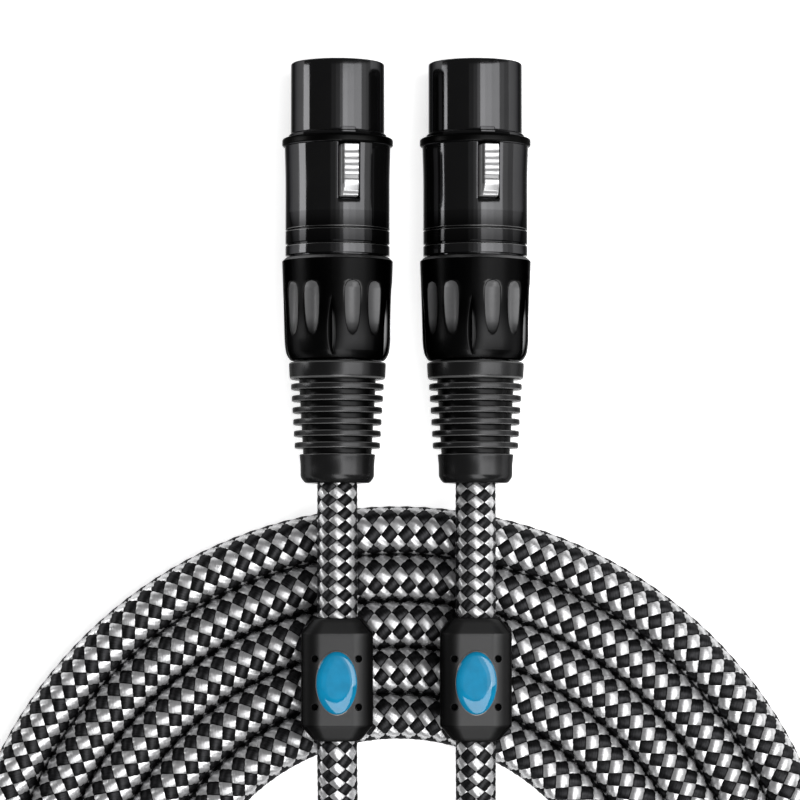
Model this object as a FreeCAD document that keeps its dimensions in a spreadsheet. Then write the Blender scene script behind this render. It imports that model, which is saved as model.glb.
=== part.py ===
"""A coiled microphone cable with two identical female three-contact connectors.

Everything lies on a table: the table is the XY plane, the connectors point along +Y and +Z is up.
Sizes are in millimetres and degrees. Each connector piece is drawn in the connector's own axes,
where +Y runs backwards from the front of the nose and the latch stands up along +Z.
"""
import FreeCAD, Part
import math
import os

import Sketcher
from FreeCAD import Placement, Rotation, Vector

# Driving dimensions: name, value, meaning
DIMENSIONS = (
    # where the connectors lie
    ("connector_spacing", 23.4, "between the axes of the two connectors"),
    ("connector_tilt", 2.64, "degrees that the cable lifts the back of a connector"),
    ("latch_roll", 14, "degrees that a connector is rolled about its axis"),
    # shell
    ("nose_radius", 7.95, "outside of the nose that enters the socket"),
    ("nose_length", 11.35, "nose, from its front to the neck"),
    ("nose_wall", 0.9, "wall of the nose"),
    ("nose_edge", 0.35, "chamfer at the front of the nose"),
    ("lip_depth", 0.35, "how far the front lip stands inside the bore"),
    ("lip_length", 0.5, "length of the front lip"),
    ("neck_radius", 8.6, "back of the neck cone"),
    ("neck_length", 1.25, "neck cone"),
    ("flange_radius", 9.43, "ring that stops the mating part"),
    ("flange_length", 1.65, "width of the ring"),
    ("flange_edge", 0.35, "chamfer on the ring"),
    ("body_front_radius", 9.0, "body just behind the ring"),
    ("body_radius", 8.85, "body where it is straight"),
    ("body_taper", 5.0, "length over which the body narrows"),
    ("body_length", 18.5, "body, from the ring to the nut"),
    ("body_edge", 0.25, "chamfer at the back of the body"),
    ("line_front", 4.85, "front turned line, ahead of the back of the body"),
    ("line_rear", 2.3, "rear turned line, ahead of the back of the body"),
    ("line_width", 0.35, "width of a turned line"),
    ("line_depth", 0.18, "depth of a turned line"),
    ("thread_radius", 8.0, "outside of the threaded spigot"),
    ("thread_length", 10, "threaded spigot"),
    ("key_width", 2.4, "key slot under the nose"),
    ("key_length", 8, "key slot, from the front"),
    ("key_depth", 1.9, "key slot, from the outside of the nose"),
    # insert and contacts
    ("insert_gap", 0.05, "between the insert and the bore of the shell"),
    ("insert_to_pin", 1.5, "between the insert and the latch's pin"),
    ("contact_circle", 4.2, "circle on which the contacts stand"),
    ("contact_bore", 1.25, "bore that takes a 2.38 mm pin"),
    ("contact_radius", 1.7, "outside of a contact"),
    ("contact_setback", 0.8, "from the face of the insert to a contact"),
    ("contact_depth", 10, "depth of a contact's bore"),
    ("contact_length", 20.5, "contact, up to its cup"),
    ("cup_length", 3.7, "solder cup"),
    ("cup_radius", 1.5, "outside of a solder cup"),
    ("cup_bore", 0.95, "bore of a solder cup"),
    ("contact_gap", 0.04, "between a contact and its hole"),
    ("entry_radius", 1.35, "hole in the face of the insert"),
    ("contact_slit", 0.4, "slit that lets a contact spring"),
    ("core_radius", 0.6, "insulated core inside the cable"),
    ("core_circle", 1.7, "circle of the cores where the jacket ends"),
    # latch
    ("window_width", 3.7, "window that the latch button stands in"),
    ("window_length", 9.7, "window, behind the ring"),
    ("button_width", 2.45, "latch button"),
    ("button_length", 8.35, "latch button"),
    ("button_front", 0.45, "from the ring to the button"),
    ("button_top", 10.7, "ridges of the button, from the axis"),
    ("button_foot", 9.9, "back end of the button's slope, from the axis"),
    ("ridge_count", 5, "ridges across the button"),
    ("ridge_spacing", 1.0, "between two ridges"),
    ("ridge_depth", 0.28, "valley between two ridges"),
    ("lever_width", 3.2, "lever under the shell"),
    ("lever_bottom", 5.95, "underside of the lever, from the axis"),
    ("lever_thickness", 0.8, "lever"),
    ("tooth_width", 2.4, "tooth that locks the connector"),
    ("tooth_length", 0.7, "tooth"),
    ("tooth_top", 8.5, "top of the tooth, from the axis"),
    ("tooth_gap", 0.25, "room around the tooth in its slot"),
    ("pin_radius", 0.5, "pivot pin"),
    ("pin_length", 10, "pivot pin"),
    ("pin_height", 5.8, "pivot pin, from the axis"),
    ("pin_behind_window", 1.4, "pivot pin, behind the window"),
    ("pin_gap", 0.05, "between the pin and the eye"),
    ("eye_radius", 0.95, "eye of the lever"),
    ("channel_width", 3.9, "channel in the insert under the lever"),
    ("channel_floor", 4.75, "floor of the channel, from the axis"),
    ("spring_thickness", 0.2, "bow spring under the lever"),
    ("spring_width", 2.2, "bow spring"),
    ("spring_radius", 6.4, "bow spring, outer curve"),
    ("spring_place", 6.6, "crest of the spring, ahead of the pivot pin"),
    ("seat_gap", 0.02, "between two pieces that only touch"),
    # grip nut
    ("nut_gap", 0.2, "between the body and the nut"),
    ("nut_turn", 19.1, "degrees from the latch's line to the nearest wedge"),
    ("nut_length", 17.6, "grip nut"),
    ("nut_step", 0.03, "how far the nut's front stays inside the ring"),
    ("nut_chamfer_share", 0.49, "share of the nut's wall that its front chamfer takes"),
    ("nut_waist_radius", 9.12, "nut where its scoops lie"),
    ("nut_waist", 8.8, "waist, behind the front of the nut"),
    ("nut_rear_radius", 8.95, "nut ahead of its rounded back"),
    ("nut_rear", 2.6, "length of the rounded back"),
    ("nut_end_radius", 7.9, "rim at the back of the nut"),
    ("nut_thread_gap", 0.07, "between the threads"),
    ("nut_thread_length", 10.8, "bore over the threads"),
    ("nut_cavity_radius", 7.3, "bore round the collet and the boot's flange"),
    ("nut_shoulder", 2.7, "shoulder that holds the boot"),
    ("nut_hole_gap", 0.3, "between the boot's neck and the nut"),
    ("flute_count", 5, "groups of one wedge and two scoops"),
    ("scoop_angle", 22.5, "degrees from a wedge to the scoops beside it"),
    ("scoop_axis", 1.58, "axis of a scoop's cutter, outside the waist"),
    ("scoop_radius", 2.2, "thickest part of a scoop's cutter"),
    ("scoop_start", 4.5, "front of a scoop's cutter, behind the nut's front"),
    ("scoop_length", 9.3, "cutter of a scoop"),
    ("wedge_length", 12.2, "wedge-shaped groove, if the nut were long enough"),
    ("wedge_depth", 1.0, "wedge-shaped groove"),
    ("wedge_width", 1.63, "wedge-shaped groove"),
    ("wedge_centre", 13.6, "middle of a wedge, behind the nut's front"),
    # collet
    ("collet_radius", 6.95, "sleeve of the collet inside the spigot"),
    ("collet_sleeve", 6.2, "sleeve of the collet"),
    ("collet_head_radius", 7.15, "big end of the collet's cone"),
    ("collet_tip_radius", 5.6, "small end of the collet's cone"),
    ("collet_slot", 0.8, "slot between two jaws"),
    ("collet_jaws", 6, "slots round the collet"),
    # boot
    ("boot_bore_gap", 0.15, "between the boot and the cable"),
    ("boot_flange_radius", 6.8, "flange that the nut holds"),
    ("boot_flange", 1.7, "flange that the nut holds"),
    ("boot_play", 0.1, "between the flange and the nut's shoulder"),
    ("boot_neck_radius", 5.7, "neck inside the nut"),
    ("boot_gap", 0.3, "between the nut and the boot's collar"),
    ("collar_radius", 8.25, "collar behind the nut"),
    ("collar_rear_radius", 8.1, "back of the collar"),
    ("collar_length", 2.9, "collar behind the nut"),
    ("collar_edge", 0.35, "rounded edge of the collar"),
    ("core_front_radius", 6.5, "between the ribs, front"),
    ("core_rear_radius", 5.8, "between the ribs, rear"),
    ("rib_count", 6, "ribs of the boot"),
    ("rib_spacing", 1.985, "between two ribs"),
    ("rib_width", 1.05, "one rib"),
    ("rib_gap", 0.72, "between the collar and the first rib"),
    ("rib_front_radius", 7.87, "first rib"),
    ("rib_rear_radius", 7.25, "last rib"),
    ("tail_radius", 6.45, "end ring of the boot"),
    ("tail_waist_radius", 6.3, "end ring before it rounds off"),
    ("tail_length", 4.95, "end ring of the boot"),
    ("tail_round", 1.5, "length of the rounded end"),
    ("tail_end_radius", 4.7, "end face of the boot"),
    # cable
    ("lead_diameter", 6.8, "cable where it is pulled straight"),
    ("coil_diameter", 7.7, "cable where it is coiled"),
    ("jacket_end", 3.6, "jacket, behind the back of the body"),
    ("lead_straight", 3.2, "straight cable on each side of a badge housing"),
    ("lead_lift", 0.1, "between a lead and the table"),
    ("lead_clearance", 0.9, "between a lead and the coil that it crosses"),
    ("coil_centre_x", -1.4, "centre of the coil"),
    ("coil_centre_y", -116.45, "centre of the coil"),
    ("coil_inner_turn", 40.75, "middle line of the innermost turn"),
    ("turn_spacing", 7.95, "between two turns"),
    ("coil_turns", 5, "turns of the coil"),
    # badge housing on each lead
    ("housing_width", 12.1, "housing across the cable"),
    ("housing_thickness", 10.6, "housing, up from the coil"),
    ("housing_length", 20.7, "housing along the cable"),
    ("housing_corner", 3.3, "rounded long edges"),
    ("housing_end_length", 2.5, "tapered end"),
    ("housing_end_inset", 2.1, "how far the sides come in at an end"),
    ("housing_end_drop", 1.0, "how far the top and bottom come in at an end"),
    ("housing_bore_gap", 0.04, "between the housing and the cable"),
    ("screw_hole_radius", 0.55, "hole of a set screw"),
    ("screw_radius", 0.5, "set screw"),
    ("screw_length", 2.6, "set screw"),
    ("screw_spacing_x", 7.36, "between the set screws across the cable"),
    ("screw_spacing_y", 8.1, "between the set screws along the cable"),
    ("screw_sunk", 1.3, "head of a set screw, below the top"),
    ("badge_width", 7.1, "oval badge"),
    ("badge_length", 10.9, "oval badge"),
    ("badge_shift", 0.4, "badge and screws, nearer to the coil than the housing's middle"),
    ("badge_recess", 0.45, "recess under the badge"),
    ("badge_gap", 0.05, "between the badge and its recess"),
    ("badge_rim", 0.5, "straight edge of the badge"),
    ("badge_dome", 0.85, "dome of the badge"),
)

# Angle of each contact about the connector's axis, seen from the back, from +X towards +Z
CONTACT_ANGLES = (45, 135, 270)

# Side of a scoop's cutter: share of its length, and share of its greatest radius there
SCOOP_SIDE = (
    (0, 0.66),
    (0.04, 0.81),
    (0.12, 0.94),
    (0.25, 1),
    (0.41, 1),
    (0.59, 0.97),
    (0.77, 0.91),
    (0.91, 0.83),
    (1, 0.77),
)

# Route of lead a behind its straight part: across and along from the coil's centre, and its
# lift, which is 0 on the table and 1 on top of the coil
LEAD_A_ROUTE = (
    (-10.2, 23.3, 0.83),
    (-10.1, 13.0, 0.26),
    (-10.0, 2.4, 0.0),
    (-10.0, -10.4, 0.0),
    (-3.3, -22.1, 0.0),
    (8.4, -28.8, 0.0),
    (21.8, -28.8, 0.0),
    (33.2, -22.1, 0.0),
    (39.6, -10.4, 0.01),
    (41.0, 1.2, 0.02),
)

# Route of lead b behind its straight part
LEAD_B_ROUTE = (
    (13.2, 23.3, 0.85),
    (13.1, 13.0, 0.26),
    (13.1, 2.6, 0.0),
    (13.1, -7.7, 0.21),
    (12.6, -17.7, 0.68),
    (8.5, -29.0, 0.95),
    (0.0, -40.0, 0.98),
    (-11.5, -49.0, 0.99),
    (-26.0, -53.5, 1.0),
    (-41.0, -52.5, 1.0),
    (-54.5, -45.0, 0.68),
    (-64.5, -33.5, 0.29),
    (-70.0, -20.0, 0.06),
    (-72.4, -6.0, 0.02),
)

# An arc of the cable's path takes this share of the shorter of its two runs
ARC_SHARE = 0.45

# A swept lead's volume may differ from its section times its length by this share
VOLUME_TOLERANCE = 0.01


class Size:
    """A number together with the sheet expression that gives it."""

    def __init__(self, value, text):
        self.value = value
        self.text = text

    def __add__(self, other):
        return combine(self, "+", other)

    def __radd__(self, other):
        return combine(other, "+", self)

    def __sub__(self, other):
        return combine(self, "-", other)

    def __rsub__(self, other):
        return combine(other, "-", self)

    def __mul__(self, other):
        return combine(self, "*", other)

    def __rmul__(self, other):
        return combine(other, "*", self)

    def __truediv__(self, other):
        return combine(self, "/", other)

    def __neg__(self):
        return combine(0, "-", self)


def value_of(size):
    """The plain number of a Size, or of a number."""
    return size.value if isinstance(size, Size) else size


def text_of(size):
    """The expression of a Size, or of a number."""
    return size.text if isinstance(size, Size) else repr(size)


def combine(left, sign, right):
    """The Size that the sign makes of two sizes or numbers."""
    first = value_of(left)
    second = value_of(right)
    results = {"+": first + second, "-": first - second, "*": first * second}
    value = first / second if sign == "/" else results[sign]
    return Size(value, f"({text_of(left)} {sign} {text_of(right)})")


def sine(size):
    """The sine of an angle in degrees."""
    return Size(math.sin(math.radians(value_of(size))), f"sin({text_of(size)})")


def cosine(size):
    """The cosine of an angle in degrees."""
    return Size(math.cos(math.radians(value_of(size))), f"cos({text_of(size)})")


class Sizes:
    """The driving dimensions by name, each with its place in the sheet."""


def write_sheet(doc):
    """Put the driving dimensions into the sheet and return them by name."""
    sheet = doc.addObject("Spreadsheet::Sheet", "Dims")
    sizes = Sizes()
    for row, (name, value, meaning) in enumerate(DIMENSIONS, start=1):
        sheet.set(f"A{row}", name)
        sheet.set(f"B{row}", str(value))
        sheet.set(f"C{row}", meaning)
        sheet.setAlias(f"B{row}", name)
        setattr(sizes, name, Size(value, f"Dims.{name}"))
    doc.recompute()
    return sizes


def bind(item, name, size):
    """Give a property its value, and the expression that keeps it."""
    if isinstance(size, Size):
        item.setExpression(name, size.text)
    else:
        setattr(item, name, size)


# Sketch helpers


def new_body(doc, name):
    """An empty body with its own label."""
    body = doc.addObject("PartDesign::Body", name)
    body.Label = name
    body.AllowCompound = True
    return body


def new_sketch(body, name, role, offset=0, turn=0):
    """A sketch on one of the body's own planes, moved along and turned about the plane."""
    sketch = body.newObject("Sketcher::SketchObject", f"{body.Name}_{name}")
    planes = [item for item in body.Origin.OriginFeatures if item.Role == role]
    sketch.AttachmentSupport = (planes[0], [""])
    sketch.MapMode = "FlatFace"
    rotation = Rotation(Vector(1, 0, 0), value_of(turn))
    sketch.AttachmentOffset = Placement(Vector(0, 0, value_of(offset)), rotation)
    if isinstance(offset, Size):
        sketch.setExpression("AttachmentOffset.Base.z", offset.text)
    if isinstance(turn, Size):
        sketch.setExpression("AttachmentOffset.Rotation.Angle", turn.text)
    return sketch


def cross_sketch(body, name, distance):
    """A sketch square to the Y axis, at a distance behind the origin; its x is X and its y is Z."""
    return new_sketch(body, name, "XZ_Plane", offset=-distance)


def add_rules(sketch, rules):
    """Add constraints and tie each one that has a Size to the sheet."""
    first = sketch.ConstraintCount
    sketch.addConstraint([rule for rule, size in rules])
    for number, (rule, size) in enumerate(rules, start=first):
        if isinstance(size, Size):
            sketch.setExpression(f"Constraints[{number}]", size.text)


def place_rules(item, point, across, along):
    """The constraints that hold a point at its two distances from the sketch's origin."""
    rules = []
    for kind, axis, size in (("DistanceX", -2, across), ("DistanceY", -1, along)):
        if isinstance(size, Size) or size != 0:
            rules.append((Sketcher.Constraint(kind, -1, 1, item, point, value_of(size)), size))
        else:
            rules.append((Sketcher.Constraint("PointOnObject", item, point, axis), None))
    return rules


def draw_outline(sketch, corners):
    """A closed outline of straight lines through the corners."""
    count = len(corners)
    spots = [Vector(value_of(across), value_of(along), 0) for across, along in corners]
    first = sketch.GeometryCount
    for index in range(count):
        line = Part.LineSegment(spots[index], spots[(index + 1) % count])
        sketch.addGeometry(line, False)
    rules = []
    for index in range(count):
        following = first + (index + 1) % count
        rules.append((Sketcher.Constraint("Coincident", first + index, 2, following, 1), None))
    for index, (across, along) in enumerate(corners):
        rules += place_rules(first + index, 1, across, along)
    add_rules(sketch, rules)


def draw_circle(sketch, across, along, radius):
    """A circle at two distances from the sketch's origin."""
    centre = Vector(value_of(across), value_of(along), 0)
    circle = Part.Circle(centre, Vector(0, 0, 1), value_of(radius))
    item = sketch.addGeometry(circle, False)
    rules = place_rules(item, 3, across, along)
    rules.append((Sketcher.Constraint("Radius", item, value_of(radius)), radius))
    add_rules(sketch, rules)


def draw_box(sketch, low_x, high_x, low_y, high_y):
    """A rectangle between two distances each way."""
    draw_outline(sketch, ((low_x, low_y), (high_x, low_y), (high_x, high_y), (low_x, high_y)))


def draw_rounded_box(sketch, half_width, half_height, corner):
    """A rectangle about the sketch's origin with its four corners rounded."""
    width = value_of(half_width)
    height = value_of(half_height)
    round_size = value_of(corner)
    quarters = ((1, 1, 0), (-1, 1, 90), (-1, -1, 180), (1, -1, 270))
    rules = []
    for right, up, start in quarters:
        centre = Vector(right * (width - round_size), up * (height - round_size), 0)
        circle = Part.Circle(centre, Vector(0, 0, 1), round_size)
        arc = Part.ArcOfCircle(circle, math.radians(start), math.radians(start + 90))
        item = sketch.addGeometry(arc, False)
        rules += place_rules(item, 3, right * (half_width - corner), up * (half_height - corner))
        rules.append((Sketcher.Constraint("Radius", item, round_size), corner))
    for item in range(4):
        following = (item + 1) % 4
        start = sketch.getPoint(item, 2)
        end = sketch.getPoint(following, 1)
        line = sketch.addGeometry(Part.LineSegment(start, end), False)
        rules.append((Sketcher.Constraint("Tangent", item, 2, line, 1), None))
        rules.append((Sketcher.Constraint("Tangent", line, 2, following, 1), None))
    add_rules(sketch, rules)


# Feature helpers


def turn_solid(body, name, corners):
    """A solid turned about the Y axis from corners given as radius and distance."""
    sketch = new_sketch(body, f"{name}_outline", "XY_Plane")
    draw_outline(sketch, corners)
    feature = body.newObject("PartDesign::Revolution", f"{body.Name}_{name}")
    feature.Profile = sketch
    feature.ReferenceAxis = (sketch, ["V_Axis"])
    feature.Angle = 360
    sketch.Visibility = False
    return feature


def pad(body, name, sketch, length, both_sides=False, backwards=False):
    """A pad of the sketch; backwards turns it round."""
    feature = body.newObject("PartDesign::Pad", f"{body.Name}_{name}")
    feature.Profile = sketch
    bind(feature, "Length", length)
    feature.Midplane = both_sides
    feature.Reversed = backwards
    return feature


def cut(body, name, sketch, length, both_sides=False, backwards=False):
    """A pocket of the sketch; by default it goes along +Y, -X or -Z."""
    feature = body.newObject("PartDesign::Pocket", f"{body.Name}_{name}")
    feature.Profile = sketch
    bind(feature, "Length", length)
    feature.Midplane = both_sides
    feature.Reversed = backwards
    return feature


def groove(body, name, sketch):
    """A cut turned about the sketch's own construction line."""
    feature = body.newObject("PartDesign::Groove", f"{body.Name}_{name}")
    feature.Profile = sketch
    feature.ReferenceAxis = (sketch, ["Axis0"])
    feature.Angle = 360
    return feature


def repeat_round(body, name, features, count):
    """Repeat features about the body's Y axis."""
    pattern = body.newObject("PartDesign::PolarPattern", f"{body.Name}_{name}")
    pattern.Originals = features
    axes = [item for item in body.Origin.OriginFeatures if item.Role == "Y_Axis"]
    pattern.Axis = (axes[0], [""])
    pattern.Angle = 360
    bind(pattern, "Occurrences", count)
    body.Tip = pattern
    return pattern


def check_cut(before, after, name):
    """Stop if a cut took nothing away."""
    if after.Shape.Volume >= before.Shape.Volume - 1e-6:
        raise RuntimeError(f"{name} cuts nothing")


# Places that several pieces share


class Stations:
    """Distances behind the front of the nose, then places on the table."""

    def __init__(self, size):
        self.neck = size.nose_length
        self.flange = self.neck + size.neck_length
        self.body = self.flange + size.flange_length
        self.body_end = self.body + size.body_length
        self.shell_end = self.body_end + size.thread_length
        self.insert = size.lip_length
        self.contact = self.insert + size.contact_setback
        self.cup = self.contact + size.contact_length
        self.cup_end = self.cup + size.cup_length
        self.window_end = self.body + size.window_length
        self.pin = self.window_end + size.pin_behind_window
        self.insert_end = self.pin - size.pin_radius - size.insert_to_pin
        self.button = self.body + size.button_front
        self.button_end = self.button + size.button_length
        self.tooth = self.neck + size.tooth_gap
        self.jacket = self.body_end + size.jacket_end
        self.nut = self.body_end + size.nut_gap
        self.nut_end = self.nut + size.nut_length
        self.shoulder = self.nut_end - size.nut_shoulder
        self.boot = self.shoulder - size.boot_play - size.boot_flange
        self.collar = self.nut_end + size.boot_gap
        self.collar_end = self.collar + size.collar_length
        self.ribs = self.collar_end + size.rib_gap
        self.tail = self.ribs + size.rib_count * size.rib_spacing
        self.end = self.tail + size.tail_length

        sin_tilt = sine(size.connector_tilt)
        cos_tilt = cosine(size.connector_tilt)
        radius_change = size.tail_end_radius - size.nose_radius + size.nose_edge
        self.front_y = (self.end * cos_tilt + radius_change * sin_tilt) / 2
        rest = self.flange + size.flange_edge
        self.front_z = size.flange_radius * cos_tilt - rest * sin_tilt
        self.housing_z = size.coil_diameter + size.housing_thickness / 2
        rise = self.housing_z - self.front_z
        self.bend_y = self.front_y - rise * cos_tilt / sin_tilt
        self.housing_y = self.bend_y - size.lead_straight - size.housing_length / 2


def connector_place(size, station, side, rolled):
    """The expression that lays a piece of a connector on the table; side is -1 or 1."""
    front_x = side * size.connector_spacing / 2
    base = f"vector({front_x.text}; {station.front_y.text}; {station.front_z.text})"
    tilt = f"rotation(vector(1; 0; 0); -({size.connector_tilt.text}))"
    turn = "rotation(vector(0; 0; 1); 180)"
    roll = f"rotation(vector(0; 1; 0); -({rolled.text}))"
    return f"placement({base}; {tilt} * {turn} * {roll})"


# Connector pieces


def make_shell(doc, tag, size, station):
    """Turned metal shell: nose, neck, ring, body and threaded spigot, with window and slots."""
    body = new_body(doc, f"shell_{tag}")
    bore = size.nose_radius - size.nose_wall
    lip = bore - size.lip_depth
    line_low = size.body_radius - size.line_depth
    corners = [
        (lip, 0),
        (size.nose_radius - size.nose_edge, 0),
        (size.nose_radius, size.nose_edge),
        (size.nose_radius, station.neck),
        (size.neck_radius, station.flange),
        (size.flange_radius - size.flange_edge, station.flange),
        (size.flange_radius, station.flange + size.flange_edge),
        (size.flange_radius, station.body - size.flange_edge),
        (size.flange_radius - size.flange_edge, station.body),
        (size.body_front_radius, station.body),
        (size.body_radius, station.body + size.body_taper),
    ]
    for line in (size.line_front, size.line_rear):
        start = station.body_end - line
        corners += [
            (size.body_radius, start),
            (line_low, start),
            (line_low, start + size.line_width),
            (size.body_radius, start + size.line_width),
        ]
    corners += [
        (size.body_radius, station.body_end - size.body_edge),
        (size.body_radius - size.body_edge, station.body_end),
        (size.thread_radius, station.body_end),
        (size.thread_radius, station.shell_end),
        (bore, station.shell_end),
        (bore, size.lip_length),
        (lip, size.lip_length),
    ]
    turned = turn_solid(body, "turned", corners)

    window = new_sketch(body, "window_outline", "XY_Plane")
    half_window = size.window_width / 2
    draw_box(window, -half_window, half_window, station.body, station.window_end)
    window_cut = cut(body, "window", window, 2 * size.flange_radius, backwards=True)

    slot = new_sketch(body, "slot_outline", "XY_Plane")
    half_slot = size.tooth_width / 2 + size.tooth_gap
    slot_front = station.tooth - size.tooth_gap
    slot_end = station.tooth + size.tooth_length + size.tooth_gap
    draw_box(slot, -half_slot, half_slot, slot_front, slot_end)
    slot_cut = cut(body, "slot", slot, 2 * size.flange_radius, backwards=True)

    key = new_sketch(body, "key_outline", "XY_Plane")
    half_key = size.key_width / 2
    draw_box(key, -half_key, half_key, 0, size.key_length)
    key_cut = cut(body, "key", key, 2 * size.flange_radius)

    cross = new_sketch(body, "pin_outline", "YZ_Plane")
    draw_circle(cross, station.pin, size.pin_height, size.pin_radius)
    pin_cut = cut(body, "pin_hole", cross, size.pin_length, both_sides=True)
    doc.recompute()
    check_cut(turned, window_cut, "window")
    check_cut(window_cut, slot_cut, "tooth slot")
    check_cut(slot_cut, key_cut, "key slot")
    check_cut(key_cut, pin_cut, "pin hole")
    return body


def contact_spots(size):
    """Where the contacts stand in a section across the connector."""
    spots = []
    for angle in CONTACT_ANGLES:
        across = size.contact_circle * math.cos(math.radians(angle))
        up = size.contact_circle * math.sin(math.radians(angle))
        spots.append((across, up))
    return spots


def make_insert(doc, tag, size, station):
    """Insulating insert with three contact holes, the latch channel and the key groove."""
    body = new_body(doc, f"insert_{tag}")
    radius = size.nose_radius - size.nose_wall - size.insert_gap
    face = cross_sketch(body, "face", station.insert)
    draw_circle(face, 0, 0, radius)
    length = station.insert_end - station.insert
    block = pad(body, "block", face, length, backwards=True)

    entry = cross_sketch(body, "entry_outline", station.insert)
    housing = cross_sketch(body, "housing_outline", station.contact)
    for across, up in contact_spots(size):
        draw_circle(entry, across, up, size.entry_radius)
        draw_circle(housing, across, up, size.contact_radius + size.contact_gap)
    entry_cut = cut(body, "entry", entry, size.contact_setback)
    housing_cut = cut(body, "housing", housing, length)

    channel = new_sketch(body, "channel_outline", "YZ_Plane")
    low = station.neck - size.tooth_gap
    draw_box(channel, low, station.shell_end, size.channel_floor, size.flange_radius)
    channel_cut = cut(body, "channel", channel, size.channel_width, both_sides=True)

    key = new_sketch(body, "key_outline", "YZ_Plane")
    key_floor = size.nose_radius - size.key_depth
    draw_box(key, 0, size.key_length, -size.flange_radius, -key_floor)
    key_cut = cut(body, "key", key, size.key_width, both_sides=True)
    doc.recompute()
    check_cut(block, entry_cut, "contact entries")
    check_cut(entry_cut, housing_cut, "contact holes")
    check_cut(housing_cut, channel_cut, "latch channel")
    check_cut(channel_cut, key_cut, "key groove")
    return body


def make_contacts(doc, tag, size, station):
    """Three turned socket contacts with slits at the mouth and solder cups at the back."""
    body = new_body(doc, f"contacts_{tag}")
    barrel = cross_sketch(body, "barrel_outline", station.contact)
    cup = cross_sketch(body, "cup_outline", station.cup)
    bore = cross_sketch(body, "bore_outline", station.contact)
    cup_bore = cross_sketch(body, "cup_bore_outline", station.cup)
    slits = cross_sketch(body, "slit_outline", station.contact)
    half_slit = size.contact_slit / 2
    reach = size.contact_radius * 1.2
    for across, up in contact_spots(size):
        draw_circle(barrel, across, up, size.contact_radius)
        draw_circle(cup, across, up, size.cup_radius)
        draw_circle(bore, across, up, size.contact_bore)
        draw_circle(cup_bore, across, up, size.cup_bore)
        draw_box(slits, across - half_slit, across + half_slit, up - reach, up + reach)
    pad(body, "barrel", barrel, size.contact_length, backwards=True)
    cups = pad(body, "cup", cup, size.cup_length, backwards=True)
    bores = cut(body, "bore", bore, size.contact_depth)
    cup_bores = cut(body, "cup_bore", cup_bore, size.cup_length)
    slit_cuts = cut(body, "slit", slits, size.contact_depth * 0.6)
    doc.recompute()
    check_cut(cups, bores, "contact bores")
    check_cut(bores, cup_bores, "solder cups")
    check_cut(cup_bores, slit_cuts, "contact slits")
    return body


def make_core_wires(doc, tag, size, station):
    """The three insulated cores, from the solder cups to the cut end of the jacket."""
    runs = []
    start_y = station.cup_end - size.cup_length / 2
    for number, angle in enumerate(CONTACT_ANGLES, start=1):
        ends = []
        places = (
            (start_y, size.contact_circle),
            (station.jacket, size.core_circle),
        )
        for name, (distance, circle) in zip(("cup", "jacket"), places):
            ring = doc.addObject("Part::Circle", f"core_{name}_{tag}_{number}")
            bind(ring, "Radius", size.core_radius)
            ring.Placement = Placement(Vector(), Rotation(Vector(1, 0, 0), -90))
            across = circle * math.cos(math.radians(angle))
            up = circle * math.sin(math.radians(angle))
            ring.setExpression("Placement.Base.x", across.text)
            ring.setExpression("Placement.Base.y", distance.text)
            ring.setExpression("Placement.Base.z", up.text)
            ends.append(ring)
        run = doc.addObject("Part::Loft", f"core_{tag}_{number}")
        run.Sections = ends
        run.Solid = True
        run.Ruled = True
        runs.append(run)
    bundle = doc.addObject("Part::Compound", f"core_wires_{tag}")
    bundle.Label = f"core_wires_{tag}"
    bundle.Links = runs
    return bundle


def latch_outline(size, station):
    """The side of the latch button: distance and height of each corner, ridges in front."""
    bottom = size.lever_bottom + size.lever_thickness / 2
    valley = size.button_top - size.ridge_depth
    corners = [(station.button, bottom), (station.button, valley)]
    for ridge in range(size.ridge_count.value):
        start = station.button + ridge * size.ridge_spacing
        corners += [
            (start + 0.25 * size.ridge_spacing, size.button_top),
            (start + 0.75 * size.ridge_spacing, size.button_top),
            (start + size.ridge_spacing, valley),
        ]
    corners += [
        (station.button_end - size.ridge_depth, size.button_foot),
        (station.button_end, size.button_foot - size.ridge_depth),
        (station.button_end, bottom),
    ]
    return corners


def make_latch(doc, tag, size, station):
    """Locking lever: eye, arm, tooth ahead of the ring and ridged button in the window."""
    body = new_body(doc, f"latch_{tag}")
    arm = new_sketch(body, "arm_outline", "YZ_Plane")
    lever_top = size.lever_bottom + size.lever_thickness
    draw_box(arm, station.tooth, station.pin, size.lever_bottom, lever_top)
    pad(body, "arm", arm, size.lever_width, both_sides=True)

    tooth = new_sketch(body, "tooth_outline", "YZ_Plane")
    tooth_end = station.tooth + size.tooth_length
    draw_box(tooth, station.tooth, tooth_end, size.lever_bottom, size.tooth_top)
    pad(body, "tooth", tooth, size.tooth_width, both_sides=True)

    button = new_sketch(body, "button_outline", "YZ_Plane")
    draw_outline(button, latch_outline(size, station))
    pad(body, "button", button, size.button_width, both_sides=True)

    eye = new_sketch(body, "eye_outline", "YZ_Plane")
    draw_circle(eye, station.pin, size.pin_height, size.eye_radius)
    eye_pad = pad(body, "eye", eye, size.lever_width, both_sides=True)

    hole = new_sketch(body, "hole_outline", "YZ_Plane")
    draw_circle(hole, station.pin, size.pin_height, size.pin_radius + size.pin_gap)
    hole_cut = cut(body, "hole", hole, 2 * size.lever_width, both_sides=True)
    doc.recompute()
    check_cut(eye_pad, hole_cut, "pivot hole")
    return body


def make_latch_pin(doc, tag, size, station):
    """Pivot pin across the shell."""
    body = new_body(doc, f"latch_pin_{tag}")
    outline = new_sketch(body, "outline", "YZ_Plane")
    draw_circle(outline, station.pin, size.pin_height, size.pin_radius)
    pad(body, "pin", outline, size.pin_length, both_sides=True)
    return body


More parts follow.
